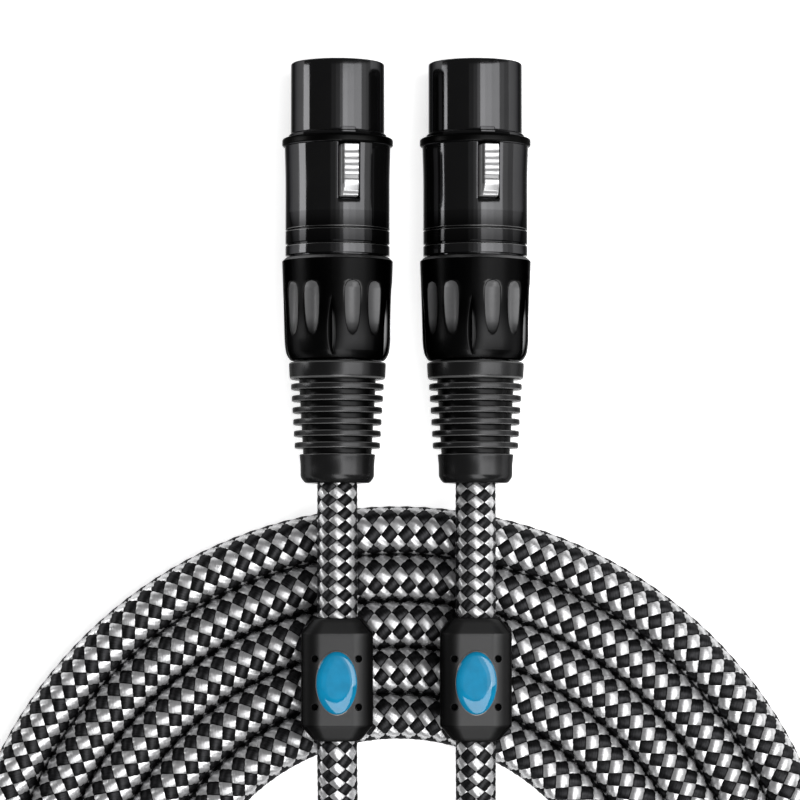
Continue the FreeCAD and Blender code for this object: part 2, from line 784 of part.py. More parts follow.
def make_latch_spring(doc, tag, size, station):
    """Bowed strip between the channel's floor and the lever."""
    body = new_body(doc, f"latch_spring_{tag}")
    crest = size.lever_bottom - size.seat_gap
    middle = station.pin - size.spring_place
    ring = new_sketch(body, "ring", "YZ_Plane")
    draw_circle(ring, middle, crest - size.spring_radius, size.spring_radius)
    inner = size.spring_radius - size.spring_thickness
    draw_circle(ring, middle, crest - size.spring_radius, inner)
    hoop = pad(body, "hoop", ring, size.spring_width, both_sides=True)

    below = new_sketch(body, "below", "YZ_Plane")
    floor = size.channel_floor + size.seat_gap
    reach = 1.2 * size.spring_radius
    draw_box(below, middle - reach, middle + reach, crest - 2.2 * size.spring_radius, floor)
    trimmed = cut(body, "trim", below, 2 * size.spring_width, both_sides=True)
    doc.recompute()
    check_cut(hoop, trimmed, "spring trim")
    return body


def make_grip_nut(doc, tag, size, station):
    """Fluted grip nut: turned bell, then one wedge and two scoops milled in each group."""
    body = new_body(doc, f"grip_nut_{tag}")
    thread = size.thread_radius + size.nut_thread_gap
    thread_end = station.nut + size.nut_thread_length
    front_radius = size.flange_radius - size.nut_step
    chamfer = (front_radius - thread) * size.nut_chamfer_share
    hole = size.boot_neck_radius + size.nut_hole_gap
    round_start = station.nut_end - size.nut_rear
    round_middle = station.nut_end - size.nut_rear * 0.4
    middle_radius = size.nut_end_radius + (size.nut_rear_radius - size.nut_end_radius) * 0.68
    corners = [
        (thread, station.nut),
        (front_radius - chamfer, station.nut),
        (front_radius, station.nut + chamfer),
        (size.nut_waist_radius, station.nut + size.nut_waist),
        (size.nut_rear_radius, round_start),
        (middle_radius, round_middle),
        (size.nut_end_radius, station.nut_end),
        (hole, station.nut_end),
        (hole, station.shoulder),
        (size.nut_cavity_radius, station.shoulder),
        (size.nut_cavity_radius, thread_end),
        (thread, thread_end),
    ]
    bell = turn_solid(body, "bell", corners)

    features = []
    for number, turn in enumerate((size.scoop_angle, -size.scoop_angle), start=1):
        scoop = new_sketch(body, f"scoop_outline_{number}", "YZ_Plane", turn=turn)
        draw_scoop(scoop, size, station)
        features.append(groove(body, f"scoop_{number}", scoop))
    wedge = new_sketch(body, "wedge_outline", "XZ_Plane", offset=-(station.nut + size.wedge_centre))
    draw_wedge(wedge, size)
    features.append(groove(body, "wedge", wedge))
    doc.recompute()
    check_cut(bell, features[0], "scoop")
    check_cut(features[1], features[2], "wedge")
    repeat_round(body, "flutes", features, size.flute_count)
    return body


def draw_scoop(sketch, size, station):
    """Half of a drop-shaped cutter beside its axis: a blunt front end, then a long taper."""
    axis = size.nut_waist_radius + size.scoop_axis
    front = station.nut + size.scoop_start
    back = front + size.scoop_length
    corners = [(front, axis)]
    for along, thick in SCOOP_SIDE:
        corners.append((front + size.scoop_length * along, axis - size.scoop_radius * thick))
    corners.append((back, axis))
    draw_outline(sketch, corners)
    ends = (Vector(front.value, axis.value, 0), Vector(back.value, axis.value, 0))
    line = sketch.addGeometry(Part.LineSegment(*ends), True)
    rules = place_rules(line, 1, front, axis) + place_rules(line, 2, back, axis)
    add_rules(sketch, rules)


def draw_wedge(sketch, size):
    """A V beside the axis of a large wheel, whose rim cuts a lens-shaped groove."""
    half_length = size.wedge_length / 2
    wheel = (half_length * half_length + size.wedge_depth * size.wedge_depth) / (2 * size.wedge_depth)
    tip = size.nut_waist_radius - size.wedge_depth
    axis = tip + wheel
    height = 2.5 * size.wedge_depth
    half_width = size.wedge_width / 2 * 2.5
    draw_outline(sketch, ((0, tip), (half_width, tip + height), (-half_width, tip + height)))
    ends = (Vector(-1, axis.value, 0), Vector(1, axis.value, 0))
    line = sketch.addGeometry(Part.LineSegment(*ends), True)
    add_rules(sketch, place_rules(line, 1, -1, axis) + place_rules(line, 2, 1, axis))


def make_collet(doc, tag, size, station):
    """Split collet that the nut squeezes onto the cable."""
    body = new_body(doc, f"collet_{tag}")
    bore = size.lead_diameter / 2 + size.seat_gap
    sleeve = station.shell_end - size.collet_sleeve
    head = station.shell_end + size.seat_gap
    tip = station.boot - size.seat_gap
    corners = [
        (bore, sleeve),
        (size.collet_radius, sleeve),
        (size.collet_radius, head),
        (size.collet_head_radius, head),
        (size.collet_tip_radius, tip),
        (bore, tip),
    ]
    turned = turn_solid(body, "turned", corners)
    slot = new_sketch(body, "slot_outline", "YZ_Plane")
    draw_box(slot, sleeve + size.collet_slot * 2, tip * 1.2, 0, size.flange_radius)
    slot_cut = cut(body, "slot", slot, size.collet_slot, both_sides=True)
    doc.recompute()
    check_cut(turned, slot_cut, "collet slot")
    repeat_round(body, "slots", [slot_cut], size.collet_jaws)
    return body


def make_boot(doc, tag, size, station):
    """Ribbed rubber boot: flange held by the nut, collar, six ribs and end ring."""
    body = new_body(doc, f"boot_{tag}")
    bore = size.lead_diameter / 2 + size.boot_bore_gap
    flange_end = station.boot + size.boot_flange
    rib_zone = station.tail - station.ribs
    corners = [
        (bore, station.boot),
        (size.boot_flange_radius, station.boot),
        (size.boot_flange_radius, flange_end),
        (size.boot_neck_radius, flange_end),
        (size.boot_neck_radius, station.collar),
        (size.collar_radius - size.collar_edge, station.collar),
        (size.collar_radius, station.collar + size.collar_edge),
        (size.collar_rear_radius, station.collar_end - size.collar_edge),
        (size.collar_rear_radius - size.collar_edge, station.collar_end),
    ]
    last = size.rib_count.value - 1
    core_drop = size.core_front_radius - size.core_rear_radius
    rib_drop = size.rib_front_radius - size.rib_rear_radius
    for rib in range(size.rib_count.value):
        start = station.ribs + rib * size.rib_spacing
        front_core = size.core_front_radius - core_drop * ((start - station.ribs) / rib_zone)
        end = start + size.rib_width
        rear_core = size.core_front_radius - core_drop * ((end - station.ribs) / rib_zone)
        radius = size.rib_front_radius - rib_drop * (rib / last)
        corners += [(front_core, start), (radius, start), (radius, end), (rear_core, end)]
    corners += [
        (size.core_rear_radius, station.tail),
        (size.tail_radius, station.tail),
        (size.tail_waist_radius, station.end - size.tail_round),
        (size.tail_waist_radius * 0.65 + size.tail_end_radius * 0.35, station.end - size.tail_round * 0.4),
        (size.tail_end_radius, station.end),
        (bore, station.end),
    ]
    corners.insert(9, (size.core_front_radius, station.collar_end))
    turn_solid(body, "turned", corners)
    return body


# Badge housing pieces, drawn with the cable along Y and the badge up


def make_housing(doc, tag, size):
    """Housing clamped on the lead: tapered ends, bore, four screw holes and badge recess."""
    body = new_body(doc, f"badge_housing_{tag}")
    half_width = size.housing_width / 2
    half_height = size.housing_thickness / 2
    middle = size.housing_length / 2 - size.housing_end_length
    end_corner = size.housing_corner - size.housing_end_drop
    sections = {}
    for name, distance, inset, drop, corner in (
        ("front", -size.housing_length / 2, size.housing_end_inset, size.housing_end_drop, end_corner),
        ("front_shoulder", -middle, 0, 0, size.housing_corner),
        ("rear_shoulder", middle, 0, 0, size.housing_corner),
        ("rear", size.housing_length / 2, size.housing_end_inset, size.housing_end_drop, end_corner),
    ):
        sections[name] = cross_sketch(body, name, distance)
        draw_rounded_box(sections[name], half_width - inset, half_height - drop, corner)
    pad(body, "middle", sections["front_shoulder"], 2 * middle, backwards=True)
    for name in ("front", "rear"):
        taper = body.newObject("PartDesign::AdditiveLoft", f"{body.Name}_{name}_taper")
        taper.Profile = sections[f"{name}_shoulder"]
        taper.Sections = [sections[name]]
        taper.Ruled = True

    bore = cross_sketch(body, "bore_outline", -size.housing_length / 2)
    draw_circle(bore, 0, 0, size.lead_diameter / 2 + size.housing_bore_gap)
    bore_cut = cut(body, "bore", bore, size.housing_length)

    holes = new_sketch(body, "screw_outline", "XY_Plane", offset=half_height)
    for across in (-1, 1):
        for along in (-1, 1):
            spot = screw_spot(size, across, along)
            draw_circle(holes, *spot, size.screw_hole_radius)
    hole_cut = cut(body, "screw_holes", holes, size.screw_sunk + size.screw_length + size.seat_gap)

    recess = new_sketch(body, "recess_outline", "XY_Plane", offset=half_height)
    half_oval = (size.badge_width / 2 + size.badge_gap, size.badge_length / 2 + size.badge_gap)
    draw_oval(recess, *half_oval, -size.badge_shift)
    recess_cut = cut(body, "recess", recess, size.badge_recess)
    doc.recompute()
    check_cut(bore_cut, hole_cut, "screw holes")
    check_cut(hole_cut, recess_cut, "badge recess")
    return body


def screw_spot(size, across, along):
    """Where a set screw stands on the housing; across and along are -1 or 1."""
    middle = -size.badge_shift
    return across * size.screw_spacing_x / 2, middle + along * size.screw_spacing_y / 2


def draw_oval(sketch, half_width, half_length, along):
    """An ellipse with its long axis along y, at a distance along y from the sketch's origin."""
    centre = Vector(0, value_of(along), 0)
    tall = centre + Vector(0, value_of(half_length), 0)
    wide = centre + Vector(value_of(half_width), 0, 0)
    item = sketch.addGeometry(Part.Ellipse(tall, wide, centre), False)
    sketch.exposeInternalGeometry(item)
    major = item + 1
    minor = item + 2
    rules = place_rules(item, 3, 0, along)
    rules += [
        (Sketcher.Constraint("Vertical", major), None),
        (Sketcher.Constraint("Distance", major, 2 * value_of(half_length)), 2 * half_length),
        (Sketcher.Constraint("Distance", minor, 2 * value_of(half_width)), 2 * half_width),
    ]
    add_rules(sketch, rules)


def make_screws(doc, tag, size):
    """Four set screws, sunk in their holes."""
    body = new_body(doc, f"housing_screws_{tag}")
    top = size.housing_thickness / 2 - size.screw_sunk
    outline = new_sketch(body, "outline", "XY_Plane", offset=top)
    for across in (-1, 1):
        for along in (-1, 1):
            spot = screw_spot(size, across, along)
            draw_circle(outline, *spot, size.screw_radius)
    pad(body, "screws", outline, size.screw_length, backwards=True)
    return body


def make_badge(doc, tag, size):
    """Domed oval badge: a flat oval base with the cap of an ellipsoid on it."""
    base = size.housing_thickness / 2 - size.badge_recess
    outline = doc.addObject("Part::Ellipse", f"badge_outline_{tag}")
    bind(outline, "MajorRadius", size.badge_length / 2)
    bind(outline, "MinorRadius", size.badge_width / 2)
    outline.Placement = Placement(Vector(), Rotation(Vector(0, 0, 1), 90))
    outline.setExpression("Placement.Base.y", (-size.badge_shift).text)
    outline.setExpression("Placement.Base.z", base.text)
    plate = doc.addObject("Part::Extrusion", f"badge_plate_{tag}")
    plate.Base = outline
    plate.DirMode = "Custom"
    plate.Dir = Vector(0, 0, 1)
    plate.Solid = True
    bind(plate, "LengthFwd", size.badge_rim)
    dome = doc.addObject("Part::Ellipsoid", f"badge_dome_{tag}")
    bind(dome, "Radius1", size.badge_dome)
    bind(dome, "Radius2", size.badge_width / 2)
    bind(dome, "Radius3", size.badge_length / 2)
    dome.Angle1 = 0
    dome.Angle2 = 90
    dome.setExpression("Placement.Base.y", (-size.badge_shift).text)
    dome.setExpression("Placement.Base.z", (base + size.badge_rim).text)
    badge = doc.addObject("Part::MultiFuse", f"badge_{tag}")
    badge.Label = f"badge_{tag}"
    badge.Shapes = [plate, dome]
    return badge


# Cable


def make_coil(doc, size):
    """The coil's outer shape: one flat ring as high as the cable, with rounded edges."""
    body = new_body(doc, "cable_coil")
    radius = size.coil_diameter / 2
    inner = size.coil_inner_turn
    outer = size.coil_inner_turn + (size.coil_turns - 1) * size.turn_spacing
    sketch = new_sketch(body, "section", "XZ_Plane")
    low_in = Vector(inner.value, 0, 0)
    low_out = Vector(outer.value, 0, 0)
    lift = Vector(0, 2 * radius.value, 0)
    sketch.addGeometry(Part.LineSegment(low_in, low_out), False)
    sketch.addGeometry(Part.LineSegment(low_out + lift, low_in + lift), False)
    for centre, start in ((low_out, -90), (low_in, 90)):
        circle = Part.Circle(centre + lift / 2, Vector(0, 0, 1), radius.value)
        arc = Part.ArcOfCircle(circle, math.radians(start), math.radians(start + 180))
        sketch.addGeometry(arc, False)
    rules = [
        (Sketcher.Constraint("Tangent", 0, 2, 2, 1), None),
        (Sketcher.Constraint("Tangent", 2, 2, 1, 1), None),
        (Sketcher.Constraint("Tangent", 1, 2, 3, 1), None),
        (Sketcher.Constraint("Tangent", 3, 2, 0, 1), None),
        (Sketcher.Constraint("PointOnObject", 0, 1, -1), None),
        (Sketcher.Constraint("Horizontal", 0), None),
        (Sketcher.Constraint("Radius", 2, radius.value), radius),
        (Sketcher.Constraint("DistanceX", -1, 1, 2, 3, outer.value), outer),
        (Sketcher.Constraint("DistanceX", -1, 1, 3, 3, inner.value), inner),
    ]
    add_rules(sketch, rules)
    ring = body.newObject("PartDesign::Revolution", "cable_coil_ring")
    ring.Profile = sketch
    ring.ReferenceAxis = (sketch, ["V_Axis"])
    ring.Angle = 360
    body.setExpression("Placement.Base.x", size.coil_centre_x.text)
    body.setExpression("Placement.Base.y", size.coil_centre_y.text)
    return body


def rounded_path(points):
    """Straight runs joined by tangent arcs; returns the wire and the radius of each arc."""
    edges = []
    radii = []
    start = points[0]
    for before, corner, after in zip(points, points[1:], points[2:]):
        back = before - corner
        ahead = after - corner
        reach = ARC_SHARE * min(back.Length, ahead.Length)
        back.normalize()
        ahead.normalize()
        half_turn = (math.pi - back.getAngle(ahead)) / 2
        radius = reach / math.tan(half_turn)
        inward = back + ahead
        inward.normalize()
        arc_start = corner + back * reach
        arc_end = corner + ahead * reach
        arc_middle = corner + inward * (radius / math.cos(half_turn) - radius)
        edges.append(Part.LineSegment(start, arc_start).toShape())
        edges.append(Part.Arc(arc_start, arc_middle, arc_end).toShape())
        radii.append(radius)
        start = arc_end
    edges.append(Part.LineSegment(start, points[-1]).toShape())
    return Part.Wire(edges), radii


def make_lead(doc, tag, size, station, side, route):
    """A tube along the stretch that isn't coiled, from the cut jacket to the coil."""
    tilt = math.radians(size.connector_tilt.value)
    along = Vector(0, -math.cos(tilt), math.sin(tilt))
    across = side * size.connector_spacing.value / 2
    corner = Vector(across, station.front_y.value, station.front_z.value)
    radius = size.lead_diameter.value / 2
    straight_end = station.housing_y - size.housing_length / 2 - size.lead_straight
    points = [
        corner + along * station.jacket.value,
        Vector(across, station.bend_y.value, station.housing_z.value),
        Vector(across, straight_end.value, station.housing_z.value),
    ]
    floor = radius + size.lead_lift.value
    top = size.coil_diameter.value + radius + size.lead_clearance.value
    for right, ahead, lift in route:
        place = (size.coil_centre_x.value + right, size.coil_centre_y.value + ahead)
        points.append(Vector(*place, floor + (top - floor) * lift))
    path, radii = rounded_path(points)
    ring = Part.Wire([Part.makeCircle(radius, points[0], along)])
    tube = path.makePipeShell([ring], True, False)
    expected = math.pi * radius ** 2 * path.Length
    if abs(tube.Volume - expected) > VOLUME_TOLERANCE * expected:
        raise RuntimeError(f"lead {tag} holds {tube.Volume:.1f}, not {expected:.1f}")
    runs = [(end - start).Length for start, end in zip(points, points[1:])]
    print(f"lead {tag}: {path.Length:.1f} mm along its path")
    print("  runs ", " ".join(f"{run:.1f}" for run in runs))
    print("  radii", " ".join(f"{bend_radius:.1f}" for bend_radius in radii))
    feature = doc.addObject("Part::Feature", f"lead_{tag}")
    feature.Label = f"lead_{tag}"
    feature.Shape = tube
    return feature


# The whole object


def make_connector(doc, tag, size, station, side):
    """All the pieces of one connector, laid in place."""
    nut = make_grip_nut(doc, tag, size, station)
    pieces = [
        make_shell(doc, tag, size, station),
        make_insert(doc, tag, size, station),
        make_contacts(doc, tag, size, station),
        make_core_wires(doc, tag, size, station),
        make_latch(doc, tag, size, station),
        make_latch_pin(doc, tag, size, station),
        make_latch_spring(doc, tag, size, station),
        make_collet(doc, tag, size, station),
        make_boot(doc, tag, size, station),
    ]
    for piece in pieces:
        place = connector_place(size, station, side, size.latch_roll)
        piece.setExpression("Placement", place)
    nut_roll = size.latch_roll - size.nut_turn
    nut.setExpression("Placement", connector_place(size, station, side, nut_roll))
    return [*pieces, nut]


def make_badge_housing(doc, tag, size, station, side):
    """The pieces of one badge housing, resting on the coil."""
    pieces = [
        make_housing(doc, tag, size),
        make_screws(doc, tag, size),
        make_badge(doc, tag, size),
    ]
    for piece in pieces:
        piece.setExpression("Placement.Base.x", (side * size.connector_spacing / 2).text)
        piece.setExpression("Placement.Base.y", station.housing_y.text)
        piece.setExpression("Placement.Base.z", station.housing_z.text)
    return pieces


def check_document(doc, pieces):
    """Stop if any object failed or any piece has no sound shape."""
    for item in doc.Objects:
        if "Invalid" in item.State or "Error" in item.State:
            raise RuntimeError(f"{item.Name} failed: {item.State}")
    for piece in pieces:
        if piece.Shape.isNull() or not piece.Shape.isValid():
            raise RuntimeError(f"{piece.Label} has no valid shape")
        if not piece.Shape.Solids:
            raise RuntimeError(f"{piece.Label} holds no solid")


def main():
    """Build the document and write one file for each piece."""
    doc = FreeCAD.newDocument("cable")
    size = write_sheet(doc)
    station = Stations(size)
    pieces = [make_coil(doc, size)]
    for tag, side, route in (("a", -1, LEAD_A_ROUTE), ("b", 1, LEAD_B_ROUTE)):
        pieces += make_connector(doc, tag, size, station, side)
        pieces += make_badge_housing(doc, tag, size, station, side)
        pieces.append(make_lead(doc, tag, size, station, side, route))
    doc.recompute()
    check_document(doc, pieces)
    os.makedirs("parts", exist_ok=True)
    for piece in pieces:
        piece.Shape.exportStep(os.path.join("parts", f"{piece.Label}.step"))
    print(f"{len(pieces)} pieces written")


main()
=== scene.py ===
"""Looks for a coiled, braided microphone cable with two female three-contact connectors.

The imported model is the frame. Sizes are in metres in the same frame: the table is the XY plane,
the connectors point along +Y and +Z is up.
"""
import math

import bmesh
import bpy
import numpy as np
from bpy.props import FloatProperty, FloatVectorProperty, IntProperty, PointerProperty
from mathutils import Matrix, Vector


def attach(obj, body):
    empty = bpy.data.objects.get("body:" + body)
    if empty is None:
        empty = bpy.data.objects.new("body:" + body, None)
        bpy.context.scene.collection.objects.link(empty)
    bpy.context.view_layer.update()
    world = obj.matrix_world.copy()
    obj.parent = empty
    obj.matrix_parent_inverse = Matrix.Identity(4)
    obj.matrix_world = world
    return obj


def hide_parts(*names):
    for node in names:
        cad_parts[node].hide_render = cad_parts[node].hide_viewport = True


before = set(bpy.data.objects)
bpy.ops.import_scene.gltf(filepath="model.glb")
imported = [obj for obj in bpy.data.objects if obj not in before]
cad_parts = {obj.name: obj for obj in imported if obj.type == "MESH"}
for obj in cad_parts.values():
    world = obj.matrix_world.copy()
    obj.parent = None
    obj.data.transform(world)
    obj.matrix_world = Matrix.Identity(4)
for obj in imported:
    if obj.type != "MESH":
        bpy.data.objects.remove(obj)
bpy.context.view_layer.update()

bl_info = {
    "name": "Coiled Microphone Cable",
    "version": (1, 0, 0),
    "blender": (4, 5, 0),
    "location": "View3D > Sidebar > Cable",
    "description": "Shells, nuts, boots, badge housings and braided cable round the packed frame",
    "category": "Add Mesh",
}

MM = 0.001
SIDES = {"a": -1, "b": 1}


# Sizes and colours


def length_of(name, description, millimetres):
    """A property that holds a length."""
    return FloatProperty(
        name=name, description=description, default=millimetres * MM, unit="LENGTH", precision=5
    )


def angle_of(name, description, degrees):
    """A property that holds an angle."""
    return FloatProperty(
        name=name, description=description, default=math.radians(degrees), subtype="ANGLE"
    )


def colour_of(name, description, red, green, blue):
    """A property that holds a colour."""
    return FloatVectorProperty(
        name=name, description=description, default=(red, green, blue), subtype="COLOR",
        size=3, min=0, max=1,
    )


class ConnectorSizes(bpy.types.PropertyGroup):
    """Places are measured backwards from the front of the nose, radii from the axis."""

    spacing: length_of("Spacing", "Between the axes of the two connectors", 23.4)
    front_y: length_of("Front", "Front of the nose along the table", 35.5604)
    front_z: length_of("Front height", "Middle of the nose above the table", 8.8235)
    tilt: angle_of("Tilt", "How far the cable lifts the back of a connector", 2.64)
    roll: angle_of("Roll", "How far a connector is rolled about its axis", 14)
    nut_turn: angle_of("Nut turn", "From the latch's line to the nearest wedge of the nut", 19.1)
    nose: length_of("Nose", "Outside of the nose", 7.95)
    neck: length_of("Neck", "Back end of the nose", 11.35)
    bore: length_of("Bore", "Inside of the nose and the body", 7.05)
    ring: length_of("Ring", "Ring that stops the mating part", 9.43)
    body: length_of("Body", "Body where it is straight", 8.85)
    thread: length_of("Thread", "Outside of the threaded spigot", 8.0)
    window_width: length_of("Window", "Window of the latch, across", 3.7)
    button_width: length_of("Button", "Latch button, across", 2.45)
    button_top: length_of("Button top", "Ridges of the latch button", 10.7)
    nut_front: length_of("Nut front", "Front of the grip nut", 32.95)
    nut_length: length_of("Nut length", "Grip nut", 17.6)
    waist: length_of("Nut waist", "Grip nut where its scoops lie", 9.12)
    groups: IntProperty(
        name="Groups", description="Groups of one wedge and two scoops", default=5, min=1, max=12
    )
    wedge_depth: length_of("Wedge depth", "Wedge-shaped groove of the nut", 1.0)
    wedge_width: length_of("Wedge width", "Wedge-shaped groove of the nut", 1.63)
    scoop_radius: length_of("Scoop", "Thickest part of the cutter of a scoop", 2.2)
    scoop_length: length_of("Scoop length", "Cutter of a scoop", 9.3)
    collar: length_of("Collar", "Front of the boot's collar", 50.85)
    ribs: length_of("First rib", "Front of the boot's first rib", 54.47)
    rib_count: IntProperty(name="Ribs", description="Ribs of the boot", default=6, min=1, max=12)
    rib_spacing: length_of("Rib spacing", "Between two ribs", 1.985)
    rib_width: length_of("Rib width", "One rib", 1.05)
    end: length_of("End", "End of the boot", 71.33)


class HousingSizes(bpy.types.PropertyGroup):
    """The badge housing that is clamped on each lead, and its badge."""

    middle_y: length_of("Place", "Middle of a housing along the table", -68.568)
    width: length_of("Width", "Housing across the cable", 12.1)
    length: length_of("Length", "Housing along the cable", 20.7)
    thickness: length_of("Thickness", "Housing from bottom to top", 10.6)
    corner: length_of("Corner", "Rounded long edges", 3.3)
    taper: length_of("Taper", "Tapered end", 2.5)
    inset: length_of("Inset", "How far the sides come in at an end", 2.1)
    drop: length_of("Drop", "How far the top and bottom come in at an end", 1.0)
    hole: length_of("Screw hole", "Radius of a screw hole", 0.55)
    hole_x: length_of("Hole X", "Screw hole, across from the middle", 3.68)
    hole_y: length_of("Hole Y", "Screw hole, along from the middle", 4.05)
    badge_width: length_of("Badge width", "Oval badge across the cable", 7.1)
    badge_length: length_of("Badge length", "Oval badge along the cable", 10.9)
    badge_shift: length_of("Badge shift", "Badge and screws, nearer to the coil", 0.4)
    badge_sunk: length_of("Badge recess", "Recess under the badge", 0.45)
    badge_dome: length_of("Badge dome", "Dome of the badge", 0.85)


class Finishes(bpy.types.PropertyGroup):
    """Colours of the cable's pieces."""

    paint: colour_of("Shell", "Black chrome of the shells", 0.046, 0.046, 0.0475)
    nut: colour_of("Nut", "Black of the grip nuts", 0.0045, 0.0045, 0.0046)
    boot: colour_of("Boot", "Rubber of the boots", 0.036, 0.036, 0.0367)
    housing: colour_of("Housing", "Satin plastic of the badge housings", 0.05, 0.05, 0.0505)
    badge: colour_of("Badge", "Enamel of the badges", 0.002, 0.22, 0.41)
    pale_thread: colour_of("Pale thread", "Pale threads of the braid", 0.70, 0.70, 0.71)
    dark_thread: colour_of("Dark thread", "Dark threads of the braid", 0.009, 0.009, 0.0095)
    steel: colour_of("Steel", "Latch", 0.72, 0.72, 0.73)


class CableSizes(bpy.types.PropertyGroup):
    """The braided cable and its coil."""

    lead_diameter: length_of("Lead diameter", "Cable where it is pulled straight", 6.8)
    coil_diameter: length_of("Coil diameter", "Cable where it is coiled", 7.7)
    jacket: length_of("Jacket", "Where the cable starts inside a connector", 56)
    bend_y: length_of("Bend", "Where a lead levels out ahead of its badge housing", -55.018)
    level: length_of("Level", "Middle of the cable in a badge housing", 13)
    straight_y: length_of("Straight end", "Where a lead starts to fall behind its housing", -82.118)
    centre_x: length_of("Coil centre X", "Centre of the coil", -1.4)
    centre_y: length_of("Coil centre Y", "Centre of the coil", -116.45)
    inner_turn: length_of("Inner turn", "Middle line of the innermost turn", 40.75)
    turn_spacing: length_of("Turn spacing", "Between two turns", 7.95)
    turns: IntProperty(name="Turns", description="Turns of the coil", default=5, min=2, max=9)
    strands: IntProperty(
        name="Strands", description="Columns of diamonds round the cable", default=14, min=4, max=40
    )
    lead_period: length_of("Lead period", "Length of a diamond on the leads", 2.295)
    coil_period: length_of("Coil period", "Length of a diamond on the coil", 2.88)
    first_phase: FloatProperty(
        name="First phase", description="Half diamonds counted at the end in connector a",
        default=-0.82,
    )
    last_phase: FloatProperty(
        name="Last phase", description="The same at the end in connector b, less an even number",
        default=0.18,
    )


# Places of a lead behind its straight part: across and along from the coil's centre, and height
LEAD_A_ROUTE = (
    (-10.2, 23.3, 10.56), (-10.1, 13.0, 5.71), (-10.0, 2.4, 3.5), (-10.0, -10.4, 3.5),
    (-3.3, -22.1, 3.5), (8.4, -28.8, 3.5), (21.8, -28.8, 3.5), (33.2, -22.1, 3.5),
    (39.6, -10.4, 3.6),
)
LEAD_B_ROUTE = (
    (13.2, 23.3, 10.73), (13.1, 13.0, 5.71), (13.1, 2.6, 3.5), (13.1, -7.7, 5.29),
    (12.6, -17.7, 9.28), (8.5, -29.0, 11.58), (0.0, -40.0, 11.83), (-11.5, -49.0, 11.92),
    (-26.0, -53.5, 12.0), (-41.0, -52.5, 12.0), (-54.5, -45.0, 9.28), (-64.5, -33.5, 5.97),
    (-70.0, -20.0, 4.3),
)


def connector_places(points, side, roll=None):
    """Turns points from a connector's own axes to the table.

    The connector is rolled about its own Y axis, turned half round so that its nose points
    along +Y, tipped about X and moved to its place.
    """
    sizes = bpy.context.scene.connector_sizes
    roll = sizes.roll if roll is None else roll
    cos_roll, sin_roll = math.cos(roll), math.sin(roll)
    cos_tilt, sin_tilt = math.cos(sizes.tilt), math.sin(sizes.tilt)
    points = np.asarray(points, float)
    across = points[..., 0] * cos_roll - points[..., 2] * sin_roll
    up = points[..., 0] * sin_roll + points[..., 2] * cos_roll
    along = points[..., 1]
    return np.stack(
        (
            side * sizes.spacing / 2 - across,
            sizes.front_y - along * cos_tilt + up * sin_tilt,
            sizes.front_z + along * sin_tilt + up * cos_tilt,
        ),
        axis=-1,
    )


def vertices_of(mesh):
    """The places of a mesh's vertices. Welding changes their order, so maps start from these."""
    places = np.empty(len(mesh.vertices) * 3)
    mesh.vertices.foreach_get("co", places)
    return places.reshape(-1, 3)


def connector_axes(mesh, side):
    """The vertices of a mesh in a connector's own axes: connector_places the other way round."""
    sizes = bpy.context.scene.connector_sizes
    places = vertices_of(mesh) - (side * sizes.spacing / 2, sizes.front_y, sizes.front_z)
    cos_roll, sin_roll = math.cos(sizes.roll), math.sin(sizes.roll)
    cos_tilt, sin_tilt = math.cos(sizes.tilt), math.sin(sizes.tilt)
    along = places[:, 2] * sin_tilt - places[:, 1] * cos_tilt
    up = places[:, 2] * cos_tilt + places[:, 1] * sin_tilt
    across = -places[:, 0]
    return across * cos_roll + up * sin_roll, along, up * cos_roll - across * sin_roll


def eased(corners, steps=5):
    """A profile with eased corners.

    Each corner is (along, radius, easing) in millimetres. It becomes a quadratic arc that starts
    and ends at its easing's distance from the corner.
    """
    corners = np.asarray(corners, float) * MM
    share = np.linspace(0, 1, steps + 1)[:, None]
    points = [corners[:1, :2]]
    for before, corner, after in zip(corners[:-2, :2], corners[1:-1], corners[2:, :2]):
        middle, easing = corner[:2], corner[2]
        if easing == 0:
            points.append(middle[None])
            continue
        start = middle + (before - middle) * easing / np.linalg.norm(before - middle)
        finish = middle + (after - middle) * easing / np.linalg.norm(after - middle)
        arc = (1 - share) ** 2 * start + 2 * share * (1 - share) * middle + share ** 2 * finish
        points.append(arc)
    points.append(corners[-1:, :2])
    return np.vstack(points)


def worn_edges(profile):
    """1 where a profile turns over an outer edge, and 0 elsewhere."""
    along, out = np.diff(profile, axis=0).T
    turn = np.diff(np.unwrap(np.arctan2(out, along)))
    return np.concatenate(((0,), np.clip((-turn - math.radians(15)) / math.radians(5), 0, 1), (0,)))


def steps_between(knots, step):
    """Every knot, and evenly spaced values between two knots that lie more than a step apart."""
    knots = np.unique(np.round(knots, 8))
    counts = np.maximum(1, np.ceil(np.diff(knots) / step - 1e-6).astype(int))
    spans = (
        np.linspace(start, end, count, endpoint=False)
        for start, end, count in zip(knots[:-1], knots[1:], counts)
    )
    return np.concatenate([*spans, knots[-1:]])


def turned(along, radius, angle):
    """Points round a connector's axis: angle 0 is the latch's side, +Z, and grows towards -X."""
    along, radius, angle = np.broadcast_arrays(along, radius, angle)
    return np.stack((-radius * np.sin(angle), along, radius * np.cos(angle)), axis=-1)


def grid_quads(rows, columns, wrap_rows=False, wrap_columns=True):
    """Corners of each cell of a grid, so that rows times columns is a closed or an open sheet."""
    row, column = np.meshgrid(
        np.arange(rows if wrap_rows else rows - 1),
        np.arange(columns if wrap_columns else columns - 1),
        indexing="ij",
    )
    next_row, next_column = (row + 1) % rows, (column + 1) % columns
    corners = ((row, column), (next_row, column), (next_row, next_column), (row, next_column))
    return np.stack([r * columns + c for r, c in corners], axis=-1)


def strip_quads(first, second):
    """Quads between two lines of points that run side by side."""
    return np.stack((first[:-1], first[1:], second[1:], second[:-1]), axis=-1)


